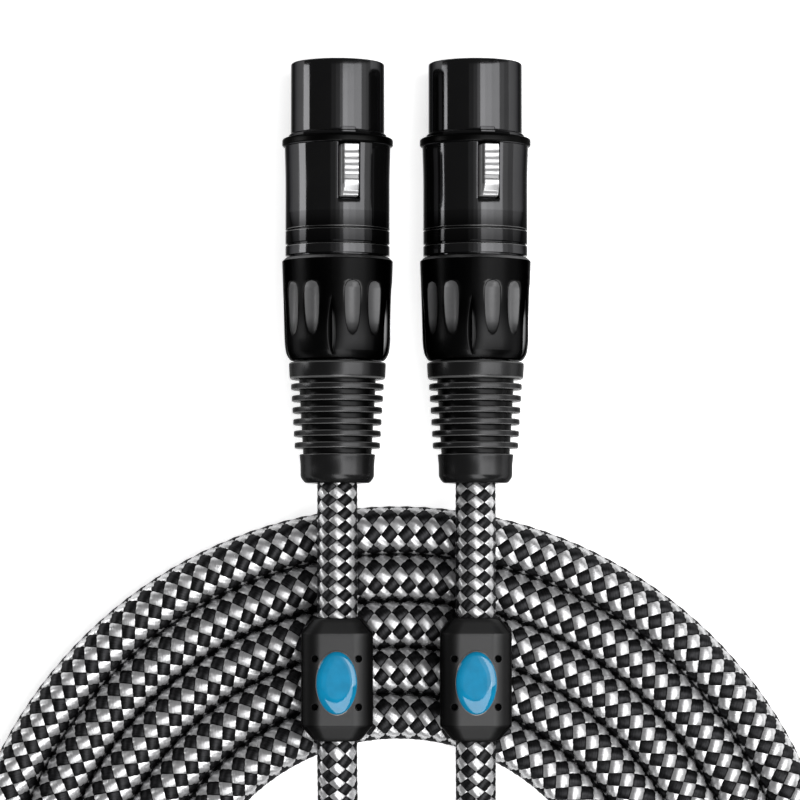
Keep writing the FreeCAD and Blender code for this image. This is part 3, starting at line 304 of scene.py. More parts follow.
def ring_quads(rings):
    """Quads between closed rings of points that follow each other."""
    rings = np.hstack((rings, rings[:, :1]))
    return [strip_quads(one, two) for one, two in zip(rings[:-1], rings[1:])]


def weld(points, quads):
    """Joins points at the same place; a side of a quad that has no length goes."""
    keys = np.round(points / (0.0001 * MM)).astype(np.int64)
    _, first, joined = np.unique(keys, axis=0, return_index=True, return_inverse=True)
    quads = joined.ravel()[quads]
    keep = quads != np.roll(quads, -1, axis=1)
    counts = keep.sum(axis=1)
    real = counts > 2
    return points[first], quads[real][keep[real]], counts[real]


def make_mesh(name, points, quads, welded=True, outwards=False):
    """A smooth mesh with sharp edges where its faces meet at more than 35 degrees."""
    points, quads = points.reshape(-1, 3), quads.reshape(-1, 4)
    if welded:
        points, loops, counts = weld(points, quads)
    else:
        loops, counts = quads.ravel(), np.full(len(quads), 4)
    mesh = bpy.data.meshes.new(name)
    mesh.vertices.add(len(points))
    mesh.vertices.foreach_set("co", points.astype(np.float32).ravel())
    mesh.loops.add(len(loops))
    mesh.loops.foreach_set("vertex_index", loops.astype(np.int32))
    mesh.polygons.add(len(counts))
    mesh.polygons.foreach_set("loop_start", (np.cumsum(counts) - counts).astype(np.int32))
    mesh.update(calc_edges=True)
    if mesh.validate():
        raise RuntimeError(f"the mesh of {name} had to be mended")
    if outwards:
        shell = bmesh.new()
        shell.from_mesh(mesh)
        bmesh.ops.recalc_face_normals(shell, faces=shell.faces)
        shell.to_mesh(mesh)
        shell.free()
    mesh.shade_smooth()
    mesh.set_sharp_from_angle(angle=math.radians(35))
    return mesh


def add_map(mesh, name, values, corners=None):
    """A map on a mesh, from a pair of values for each vertex or for each corner."""
    if corners is None:
        corners = np.empty(len(mesh.loops), np.int32)
        mesh.loops.foreach_get("vertex_index", corners)
    layer = mesh.uv_layers.new(name=name)
    layer.uv.foreach_set("vector", values[corners].astype(np.float32).ravel())


def add_turned_map(mesh, side):
    """The map "turned": how far a vertex lies from a connector's axis and behind its nose."""
    across, along, up = connector_axes(mesh, side)
    add_map(mesh, "turned", np.column_stack((np.hypot(across, up), along)) / MM)


def add_piece(mesh, body, slot, material, *nodes):
    """Puts a mesh in the scene as a piece that rides on a body and stands for CAD nodes."""
    piece = bpy.data.objects.new(mesh.name, mesh)
    bpy.context.scene.collection.objects.link(piece)
    piece.data.materials.append(material)
    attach(piece, body)
    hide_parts(*nodes)
    return piece


def add_pairs(*kinds):
    """A piece of each kind at end a, then at end b.

    A kind is the function that makes its mesh, its name, body, slot, material and CAD node. The
    name and the node get the end's letter, and so does a body that ends in _.
    """
    for tag, side in SIDES.items():
        for make, name, body, slot, material, node in kinds:
            body = body + tag if body.endswith("_") else body
            add_piece(make(f"{name}_{tag}", side), body, slot, material, f"{node}_{tag}")


def raised(value, softness):
    """The value where it is positive and nought elsewhere, with a soft change between them."""
    return (value + np.sqrt(value * value + softness * softness)) / 2


def smooth_step(value, low, high):
    """0 below low and 1 above high, with a smooth change between them."""
    share = np.clip((value - low) / (high - low), 0, 1)
    return share * share * (3 - 2 * share)


def cable_route():
    """Control points of the whole cable, from inside connector a to inside connector b.

    Each turn of the coil is a circle of control points for half a round; then its radius grows
    smoothly to that of the next turn. The turns wander a little, as a hand lays them. A control
    point lies outside its circle by one over the cosine of half a step, so that the spline itself
    runs on the circle.
    """
    connector = bpy.context.scene.connector_sizes
    cable = bpy.context.scene.cable_sizes
    centre = np.array((cable.centre_x, cable.centre_y, 0))
    leads = []
    for side, route in zip(SIDES.values(), (LEAD_A_ROUTE, LEAD_B_ROUTE)):
        across = side * connector.spacing / 2
        inside = connector_places(((0, cable.jacket, 0), (0, connector.end + 8 * MM, 0)), side)
        level = [cable.bend_y - step * MM for step in (0, 3.2, 13.5, 24.0)] + [cable.straight_y]
        straight = [(across, y, cable.level) for y in level]
        leads.append(np.vstack((inside, straight, centre + np.array(route) * MM)))

    steps = 24
    last_angle = 180 * (2 * cable.turns - 1) - 8
    angle = np.arange(math.radians(7), math.radians(last_angle), math.tau / steps)
    turn, part = np.divmod(angle / math.tau + 10 / 360, 1)
    growth = smooth_step(part * 360, 200, 360)
    looseness = 0.04 * MM * np.sin(5 * angle + 1.3 * turn)
    radius = cable.inner_turn + cable.turn_spacing * (turn + growth) + looseness
    radius = radius / math.cos(math.pi / steps)
    height = cable.turn_spacing / 2 + 0.08 * MM * (1 + np.sin(3 * angle + turn))
    coil = centre + np.stack((radius * np.cos(angle), radius * np.sin(angle), height), axis=1)
    return np.vstack((leads[0], coil, leads[1][::-1]))


def spline_points(route, resolution):
    """Points along the smooth spline through a route, as Blender works them out."""
    curve = bpy.data.curves.new("cable_route", "CURVE")
    curve.dimensions = "3D"
    curve.resolution_u = resolution
    spline = curve.splines.new("NURBS")
    spline.points.add(len(route) - 1)
    spline.points.foreach_set("co", np.column_stack((route, np.ones(len(route)))).ravel())
    spline.order_u = 3
    spline.use_endpoint_u = True
    holder = bpy.data.objects.new("cable_route", curve)
    mesh = bpy.data.meshes.new_from_object(holder)
    points = vertices_of(mesh)
    bpy.data.objects.remove(holder)
    bpy.data.curves.remove(curve)
    bpy.data.meshes.remove(mesh)
    return points


# Bands of the braid stand out by this much on the leads, and by this much more on the coil
BAND_RISE = 0.16 * MM
COIL_BAND_RISE = 0.14 * MM
# Distances along the cable from its nearest end: where it starts to widen to the coil's size, where
# it is as wide, and where the bands change over from one slant to the other
WIDENING = (0.13, 0.19)
SLANT_CHANGE = 0.115
# How far the braid is rolled about the cable in each turn of the coil, in columns of diamonds
TURN_ROLLS = (0.15, 0.38, 0.24, 0.19, 0.65)


def widening(place, total):
    """0 on the leads and 1 on the coil, with a smooth change between them."""
    return smooth_step(np.minimum(place, total - place), *WIDENING)


def braid_rows(total):
    """Numbers of the braid's rows, their counts of half diamonds, and their places.

    A diamond is longer on the coil than on the leads, so the count is the sum of the length over
    half the period there. It is stretched a little to end on the phase seen at connector b.
    """
    sizes = bpy.context.scene.cable_sizes
    place = np.linspace(0, total, 4000)
    growth = (sizes.coil_period - sizes.lead_period) * widening(place, total)
    period = sizes.lead_period + growth
    counted = np.concatenate(((0,), np.cumsum(np.diff(place) * 4 / (period[1:] + period[:-1]))))
    last = 2 * round(counted[-1] / 2) + sizes.last_phase
    counted = sizes.first_phase + counted * (last - sizes.first_phase) / counted[-1]
    halves = np.arange(math.floor(2 * sizes.first_phase), math.ceil(2 * last) + 1)
    count = np.clip(halves / 2, sizes.first_phase, last)
    return halves, count, np.interp(count, counted, place)


def unit(vectors):
    """Vectors of length 1."""
    return vectors / np.linalg.norm(vectors, axis=1, keepdims=True)


def cable_mesh(name):
    """The braided cable: its mesh, the middle line of its rows and its length.

    It is a tube with four rows to a diamond and two columns to a strand, so that each visible
    band has a vertex in its middle and at its corners. The tube's radius is largest in the middle
    of a band, and falls with the square of the distance from there. The map "braid" holds columns
    of diamonds round the cable and half diamonds along it.
    """
    sizes = bpy.context.scene.cable_sizes
    line = spline_points(cable_route(), 12)
    steps = np.linalg.norm(np.diff(line, axis=0), axis=1)
    travelled = np.concatenate(((0,), np.cumsum(steps)))
    total = travelled[-1]
    halves, count, place = braid_rows(total)
    middle = np.stack([np.interp(place, travelled, axis) for axis in line.T], axis=1)
    ahead = unit(np.gradient(middle, place, axis=0))
    right = unit(np.cross(ahead, (0, 0, 1)))
    up = np.cross(right, ahead)
    coiled = widening(place, total)
    spread = middle[:, :2] - (sizes.centre_x, sizes.centre_y)
    turn = (np.linalg.norm(spread, axis=1) - sizes.inner_turn) / sizes.turn_spacing
    rolled = coiled * np.interp(turn, np.arange(len(TURN_ROLLS)), TURN_ROLLS)

    rows, columns = len(count), 2 * sizes.strands
    step = (np.arange(columns + 1) - columns // 4) / 2
    around = math.tau / 4 + (step[:-1] - rolled[:, None]) * math.tau / sizes.strands
    across = np.stack((step[:-1] + count[:, None], step[:-1] - count[:, None])) / 2
    bulge = 1 - (2 * np.abs(across - np.round(across))).max(axis=0) ** 2
    widest = sizes.turn_spacing + 0.1 * MM
    radius = (sizes.lead_diameter + (widest - sizes.lead_diameter) * coiled)[:, None] / 2
    radius = radius + (BAND_RISE + COIL_BAND_RISE * coiled)[:, None] * (bulge - 0.6)
    points = (
        middle[:, None]
        + (radius * np.cos(around))[..., None] * right[:, None]
        + (radius * np.sin(around))[..., None] * up[:, None]
    )

    # Each quad starts at the corner from which its split follows the edge of a band
    row, column = np.meshgrid(np.arange(rows - 1), np.arange(columns), indexing="ij")
    first = (row + halves[0] + column) % 2
    corner = (first[..., None] + np.arange(4)) % 4
    row = row[..., None] + np.array((0, 1, 1, 0))[corner]
    column = column[..., None] + np.array((0, 0, 1, 1))[corner]
    mesh = make_mesh(name, points, row * columns + column % columns, welded=False)
    nearest = np.minimum(place, total - place)[:-1, None, None]
    slant = np.where(nearest < SLANT_CHANGE, -1, 1)
    values = np.stack((step[column] * slant, count[row]), axis=-1).reshape(-1, 2)
    add_map(mesh, "braid", values, np.arange(len(values)))
    return mesh, middle, total


class CABLE_OT_braided_cable(bpy.types.Operator):
    """Lays the braided cable from connector a, round the coil, to connector b"""

    bl_idname = "cable.braided_cable"
    bl_label = "Braided Cable"

    def execute(self, context):
        colours = context.scene.finishes
        threads = braid("braid", colours.pale_thread, colours.dark_thread)
        mesh, middle, total = cable_mesh("braided_cable")
        piece = add_piece(mesh, "cable", "braid", threads)
        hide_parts("lead_a", "lead_b", "cable_coil")
        exit_point = connector_places((0, context.scene.connector_sizes.end, 0), SIDES["a"])
        return {"FINISHED"}


# Materials


class Shade:
    """A value in a material's nodes; sums written with it become Math nodes."""

    def __init__(self, finish, socket):
        self.finish = finish
        self.socket = socket

    def maths(self, operation, *others):
        """This value and others put through a Math node."""
        return self.finish.add("ShaderNodeMath", {"operation": operation}, (self, *others))

    def __add__(self, other):
        return self.maths("ADD", other)

    def __sub__(self, other):
        return self.maths("SUBTRACT", other)

    def __rsub__(self, other):
        return self.finish.add("ShaderNodeMath", {"operation": "SUBTRACT"}, (other, self))

    def __mul__(self, other):
        return self.maths("MULTIPLY", other)

    def __neg__(self):
        return self * -1

    def __abs__(self):
        return self.maths("ABSOLUTE")

    def __pow__(self, other):
        return self.maths("POWER", other)

    __radd__ = __add__

    def ramp(self, low, high, first=0.0, last=1.0):
        """Changes smoothly from first to last while this value goes from low to high."""
        settings = {"interpolation_type": "SMOOTHSTEP"}
        return self.finish.add("ShaderNodeMapRange", settings, (self, low, high, first, last))


class Finish:
    """One material and its nodes."""

    def __init__(self, name):
        self.material = bpy.data.materials.new(name)
        self.material.use_nodes = True
        self.nodes = self.material.node_tree.nodes
        self.links = self.material.node_tree.links
        self.surface = self.nodes["Principled BSDF"]

    def add(self, kind, settings=None, inputs=(), output=0):
        """A node of that kind; inputs are values or shades, in order or by the socket's name."""
        node = self.nodes.new(kind)
        for setting, value in (settings or {}).items():
            setattr(node, setting, value)
        pairs = inputs.items() if isinstance(inputs, dict) else enumerate(inputs)
        for socket, value in pairs:
            self.feed(node.inputs[socket], value)
        return Shade(self, node.outputs[output])

    def feed(self, socket, value):
        """Links a shade to a socket, or sets the socket to a plain number or colour."""
        if isinstance(value, Shade):
            self.links.new(value.socket, socket)
        else:
            socket.default_value = (*value, 1) if isinstance(value, tuple) else value

    def place(self):
        """The place of a point on the piece, in metres."""
        return self.add("ShaderNodeTexCoord", output="Object")

    def parts(self, vector):
        """The three parts of a vector."""
        split = self.add("ShaderNodeSeparateXYZ", inputs=(vector,))
        return [Shade(self, split.socket.node.outputs[axis]) for axis in range(3)]

    def map(self, name):
        """The two values of a map of the piece."""
        return self.parts(self.add("ShaderNodeUVMap", {"uv_map": name}))[:2]

    def joined(self, x, y, z):
        """A vector made of three values."""
        return self.add("ShaderNodeCombineXYZ", inputs=(x, y, z))

    def noise(self, scale, detail=3.0, roughness=0.6, vector=None):
        """Smooth noise of 0 to 1, by the place on the piece or by another vector."""
        vector = vector or self.place()
        inputs = {"Vector": vector, "Scale": scale, "Detail": detail, "Roughness": roughness}
        return self.add("ShaderNodeTexNoise", inputs=inputs)

    def blend(self, factor, first, second):
        """A colour between two colours; a plain number is a grey."""
        first, second = (grey(c) if isinstance(c, float) else c for c in (first, second))
        inputs = {0: factor, 6: first, 7: second}
        return self.add("ShaderNodeMix", {"data_type": "RGBA"}, inputs, output=2)

    def tones(self, factor, colour, first, last):
        """A colour between two strengths of itself."""
        return self.blend(factor, shaded(colour, first), shaded(colour, last))

    def coats(self, base, *coats):
        """A colour with other colours laid over it in turn, each by its own share."""
        for share, colour in coats:
            base = self.blend(share, base, colour)
        return base

    def relief(self, height, distance):
        """A normal bent by a height."""
        inputs = {"Height": height, "Distance": distance, "Strength": 1.0}
        return self.add("ShaderNodeBump", inputs=inputs)

    def finished(self, **sockets):
        """Feeds the surface's sockets, named in lower case with _ for a space."""
        for socket, value in sockets.items():
            name = socket.replace("_", " ").title().replace("Ior", "IOR")
            self.feed(self.surface.inputs[name], value)
        return self.material


def grey(value):
    """A grey colour."""
    return (value, value, value)


def shaded(colour, share):
    """A colour made darker or lighter."""
    return tuple(min(1.0, part * share) for part in colour)


def shell_chrome(name, colour):
    """Black chrome: a dark mirror with faint ripples, a little dust and some blurred patches.

    The map "turned" holds a point's radius and its place behind the front of the nose. A turned
    zone is painted darker as shade, for dimmer reflections there, and bright lines at the edges of
    the grooves are painted highlights; the ring is matte. Inside the shell, and on the arm of the
    lever, the finish is flat black.
    """
    finish = Finish(name)
    radius, station = finish.map("turned")
    patchy = finish.noise(210)
    dust = finish.noise(5200, roughness=0.7).ramp(0.70, 0.78)
    # Painted shade: the chrome is darker over a zone round the grooves, standing in for dimmer
    # reflections
    dim = station.ramp(25.55, 25.7, 1.0, 0.74) * station.ramp(25.7, 28.35, 1.0, 0.4)
    dim = dim + station.ramp(28.6, 28.7, 0.0, 0.15) - station.ramp(28.8, 30.7, 0.0, 0.14)
    dim = dim + (1 - dim) * station.ramp(31.1, 31.2)
    ring = station.ramp(12.76, 12.84) - station.ramp(14.02, 14.1)
    # Painted highlights: bright lines along the edges of the grooves
    lines = [1 - abs(station - place).ramp(0.03, 0.1) for place in (28.3, 28.71, 31.22)]
    lines = lines[0] + lines[1] + lines[2]
    inside = radius.ramp(7.2, 7.4, 1.0, 0.0)
    base = finish.coats(
        finish.tones(patchy, colour, 0.9, 1.1),
        (dust * 0.3, 0.1), (1 - dim, 0.0), (ring, 0.007), (lines * 0.5, 0.2), (inside, 0.003),
    )
    soft = patchy.ramp(0.3, 0.7, 0.07, 0.11) + dust * 0.2
    ripples = finish.noise(900, 2.0, 0.5) + finish.noise(160, 2.0, 0.5) * 1.5
    return finish.finished(
        base_color=base, metallic=0.94, roughness=soft + ring * 0.25 + lines * 0.25 + inside * 0.35,
        normal=finish.relief(ripples, 0.000002),
        specular_tint=grey(0.3), specular_ior_level=0.1,
    )


def fluted_paint(name, colour):
    """The nut's deep black: its scoops, its front chamfer and one flank of a wedge are greyer.

    The grey of that flank and of the chamfer, and a soft outline round the front of the scoops,
    are painted highlights. The scoops' grey is partly a matte finish and partly the light they
    catch, painted in, and it fades towards the rear as painted shade. The map "flutes" holds how
    deep a point lies in a scoop, or with a minus sign on that flank, and its place along the nut
    from 0 to 1. The rear of the nut is a little lighter.
    """
    finish = Finish(name)
    depth, station = finish.map("flutes")
    patchy = finish.noise(240)
    streak = finish.noise(1400, 2.0)
    dust = finish.noise(5200, roughness=0.7).ramp(0.70, 0.78)
    scoop = depth.ramp(0.04, 0.3)
    # Painted highlight: a soft light outline round the front of the scoops
    rim = depth.ramp(0.0, 0.012) - depth.ramp(0.02, 0.05)
    # Painted highlight: a glow on one flank of each wedge
    flank = (-depth).ramp(0.15, 0.6) * station.ramp(0.5, 0.62) * station.ramp(0.86, 0.95, 1.0, 0.0)
    # Painted highlight: a lighter band on the front chamfer
    chamfer = station.ramp(0.009, 0.013) - station.ramp(0.038, 0.044)
    base = finish.coats(
        finish.tones(patchy, colour, 0.8, 1.2),
        (station.ramp(0.5, 0.8) * 0.8, (0.014, 0.014, 0.0143)),
        # The scoops' grey is partly a matte finish and partly painted light, and fades to the rear
        # as painted shade
        (scoop * station.ramp(0.58, 0.77, 1.0, 0.0) * (0.85 + streak * 0.3), (0.11, 0.11, 0.112)),
        (rim * 0.25 * station.ramp(0.3, 0.5, 1.0, 0.0), 0.1),
        (flank * 0.8, (0.2, 0.2, 0.202)), (chamfer * 0.9, (0.17, 0.17, 0.172)), (dust * 0.3, 0.1),
    )
    return finish.finished(
        base_color=base, metallic=1 - scoop * 0.8 - flank * 0.8,
        specular_tint=grey(0.3), specular_ior_level=0.3,
        roughness=patchy.ramp(0.3, 0.7, 0.28, 0.34) + scoop * 0.06 + flank * 0.1 + chamfer * 0.12,
        normal=finish.relief(streak, 0.000003),
    )


def brushed_steel(name, colour):
    """Bright steel with fine brushing across the latch; its valleys are painted darker as shade.

    The map "button" holds how far a point lies below the ridges and behind the button's front.
    """
    finish = Finish(name)
    below, behind = finish.map("button")
    x, y, z = finish.parts(finish.place())
    lines = finish.noise(9000, vector=finish.joined(x * 0.06, y, z * 0.4))
    blotch = finish.noise(420)
    # Painted shade in the button's valleys, less on the slope at the back and none low on its sides
    valley_shade = below.ramp(0.04, 0.22) * (1 - behind.ramp(6.6, 6.8) * 0.45)
    valley_shade = valley_shade * below.ramp(1.1, 1.4, 1.0, 0.0)
    bright = finish.tones(lines * 0.6 + blotch * 0.4, colour, 0.9, 1.08)
    return finish.finished(
        base_color=finish.blend(valley_shade * 0.85, bright, shaded(colour, 0.2)),
        metallic=0.5, roughness=lines.ramp(0.2, 0.8, 0.3, 0.4),
        normal=finish.relief(lines, 0.000001),
    )


def plain_metal(name, colour, scale, roughness):
    """Plain drawn or plated metal, a little uneven, for the pins, springs and contacts."""
    finish = Finish(name)
    grain = finish.noise(scale)
    return finish.finished(
        base_color=finish.tones(grain, colour, 0.85, 1.1), metallic=1.0,
        roughness=grain.ramp(0.2, 0.8, roughness, roughness + 0.14),
        normal=finish.relief(grain, 0.000003),
    )


def moulded_plastic(name, colour, roughness, shine=0.5):
    """Plain moulded plastic for the hidden inner pieces."""
    finish = Finish(name)
    grain = finish.noise(3600)
    return finish.finished(
        base_color=finish.tones(finish.noise(300), colour, 0.85, 1.15),
        roughness=grain.ramp(0.2, 0.8, roughness - 0.06, roughness + 0.08),
        normal=finish.relief(grain, 0.000008), specular_ior_level=shine,
    )


def boot_rubber(name, colour):
    """Matte black rubber: fine grain from the mould, and dusty here and there.

    Its map holds 1 on the outer edges of the profile, painted lighter as a highlight, then 1
    between the ribs, painted darker as shade.
    """
    finish = Finish(name)
    worn, rib_gap_shade = finish.map("worn")
    grain = finish.noise(4200, roughness=0.65)
    cloud = finish.noise(240)
    lint = finish.noise(2600, 4.0, 0.7).ramp(0.68, 0.76)
    worn = worn.ramp(0.3, 0.9)
    base = finish.coats(
        finish.tones(cloud.ramp(0.3, 0.75), colour, 0.85, 1.0),
        # Painted highlights on the outer edges, and painted shade between the ribs
        (rib_gap_shade * 0.65, 0.0), (lint * 0.4, 0.12), (worn * 0.6, 0.16),
    )
    return finish.finished(
        base_color=base, metallic=0.8 - worn * 0.5, roughness=cloud.ramp(0.3, 0.7, 0.23, 0.26),
        normal=finish.relief(grain, 0.000006),
        specular_ior_level=0.1, specular_tint=grey(0.2),
    )


def satin_plastic(name, colour):
    """The housing's satin plastic, painted darker as shade on its flanks and on the taper nearer
    to the coil.

    The map "plan" holds how far a point lies across and along the housing, in millimetres.
    """
    finish = Finish(name)
    across, along = finish.map("plan")
    grain = finish.noise(5200)
    black = shaded(colour, 0.1)
    base = finish.coats(
        finish.tones(finish.noise(260), colour, 0.94, 1.06),
        # Painted shade: the flanks and the taper nearer to the coil are darkened
        (abs(across).ramp(2.2, 4.6) * 0.6, black), (along.ramp(-7.65, -7.45, 0.6, 0.0), black),
    )
    return finish.finished(
        base_color=base, metallic=0.9, roughness=grain.ramp(0.2, 0.8, 0.4, 0.46),
        specular_ior_level=0.1, specular_tint=grey(0.3),
        normal=finish.relief(grain, 0.000006),
    )


def badge_enamel(name, colour):
    """Blue enamel under a clear coat, painted darker as shade towards its edge, in a grey metal
    rim.

    The map "oval" holds how far out a point lies, as a share of the oval, and its height.
    """
    finish = Finish(name)
    share, _ = finish.map("oval")
    rim = share.ramp(0.96, 0.97)
    depth = finish.noise(320, roughness=0.5)
    flake = finish.noise(9000, 2.0, 0.5).ramp(0.55, 0.75)
    base = finish.coats(
        finish.tones(depth.ramp(0.3, 0.7), colour, 0.88, 1.08),
        # Painted shade: the enamel darkens towards its edge
        (share.ramp(0.55, 0.93) * 0.5, shaded(colour, 0.72)),
        (flake * 0.04, (0.1, 0.75, 0.95)), (rim, (0.11, 0.103, 0.1)),
    )
    return finish.finished(
        base_color=base, metallic=rim * 0.6, roughness=rim.ramp(0, 1, 0.28, 0.32),
        coat_weight=1.0, coat_ior=1.5, coat_roughness=0.04, normal=finish.relief(depth, 0.000005),
        specular_ior_level=0.0,
    )


def braid(name, pale, dark):
    """A braid of pale and dark bands of thread that run over and under each other.

    The piece's map counts columns of diamonds round the cable and half diamonds along it. Half
    the sum and half the difference of the two number the crossings of the bands: where their
    sum is even a pale band lies on top, elsewhere a dark one. Each band is arched along and
    rounded across, and its threads run along it. Their edges are painted dark as shade, where
    the bands dive under each other.
    """
    finish = Finish(name)
    column, row = finish.map("braid")
    rising, falling = (column + row) * 0.5, (column - row) * 0.5
    rising_cell, falling_cell = rising.maths("ROUND"), falling.maths("ROUND")
    along_rising, along_falling = rising - rising_cell, falling - falling_cell
    odd = (rising_cell + falling_cell).maths("FLOORED_MODULO", 2.0)
    is_dark = odd.maths("GREATER_THAN", 0.5)
    is_pale = 1 - is_dark

    run = along_rising * is_pale + along_falling * is_dark
    side = along_falling * is_pale + along_rising * is_dark
    number = rising_cell * 7.13 + falling_cell * 3.71
    length = (rising * is_pale + falling * is_dark) * 1.6
    threads = finish.joined(length, side * 15 + number, number)
    fibres = finish.noise(1.0, 2.0, vector=threads)
    threads = finish.joined(length * 2, side * 42 + number * 2, number)
    fine = finish.noise(1.0, 1.0, 0.5, threads)
    worn = finish.noise(1.0, vector=finish.joined(column * 0.5, row * 0.12, 0.0))

    arch = 1 - (abs(run) * 2) ** 2
    round_side = 1 - (abs(side) * 2) ** 6
    threads = fibres.ramp(0.3, 0.7) * 0.7 + fine.ramp(0.3, 0.7) * 0.3
    height = arch * 0.5 + round_side * 0.1 + threads * 0.035
    edge = abs(side).maths("MAXIMUM", abs(run))
    # Painted shade along the edges of the bands, where they dive under each other
    gap = edge.ramp(0.40, 0.47) * is_dark + edge.ramp(0.465, 0.5) * is_pale * 0.8

    pale_shade = fibres.ramp(0.28, 0.72) * 0.55 + fine * 0.25 + worn * 0.2
    dark_shade = fibres.ramp(0.3, 0.75) * 0.5 + fine * 0.5
    base = finish.coats(
        finish.tones(pale_shade, pale, 0.72, 1.0),
        (is_dark, finish.tones(dark_shade, dark, 1.2, 5.0)), (gap * 0.95, shaded(dark, 0.3)),
    )
    return finish.finished(
        base_color=base, metallic=0.7 + is_dark * 0.25, specular_ior_level=0.1,
        roughness=is_dark.ramp(0, 1, 0.2, 0.36) + fibres * 0.1,
        normal=finish.relief(height, 0.0006), specular_tint=grey(0.5),
    )


# Pieces


def opening_edge(across, along, half_width, start, finish, easing):
    """How far a surface drops towards the edge of an opening, as a rounded edge does."""
    beside = np.maximum(np.abs(across) - half_width, 0)
    before = np.maximum(np.maximum(start - along, along - finish), 0)
    gap = np.clip(1 - np.hypot(beside, before) / easing, 0, 1)
    return easing * (1 - np.sqrt(1 - gap * gap))


def columns_between(first, last, cells):
    """Evenly spaced columns between the end of the first ones and the start of the last ones."""
    share = np.linspace(0, 1, cells + 1)[1:-1]
    return first[:, -1:] + (last[:, :1] - first[:, -1:]) * share


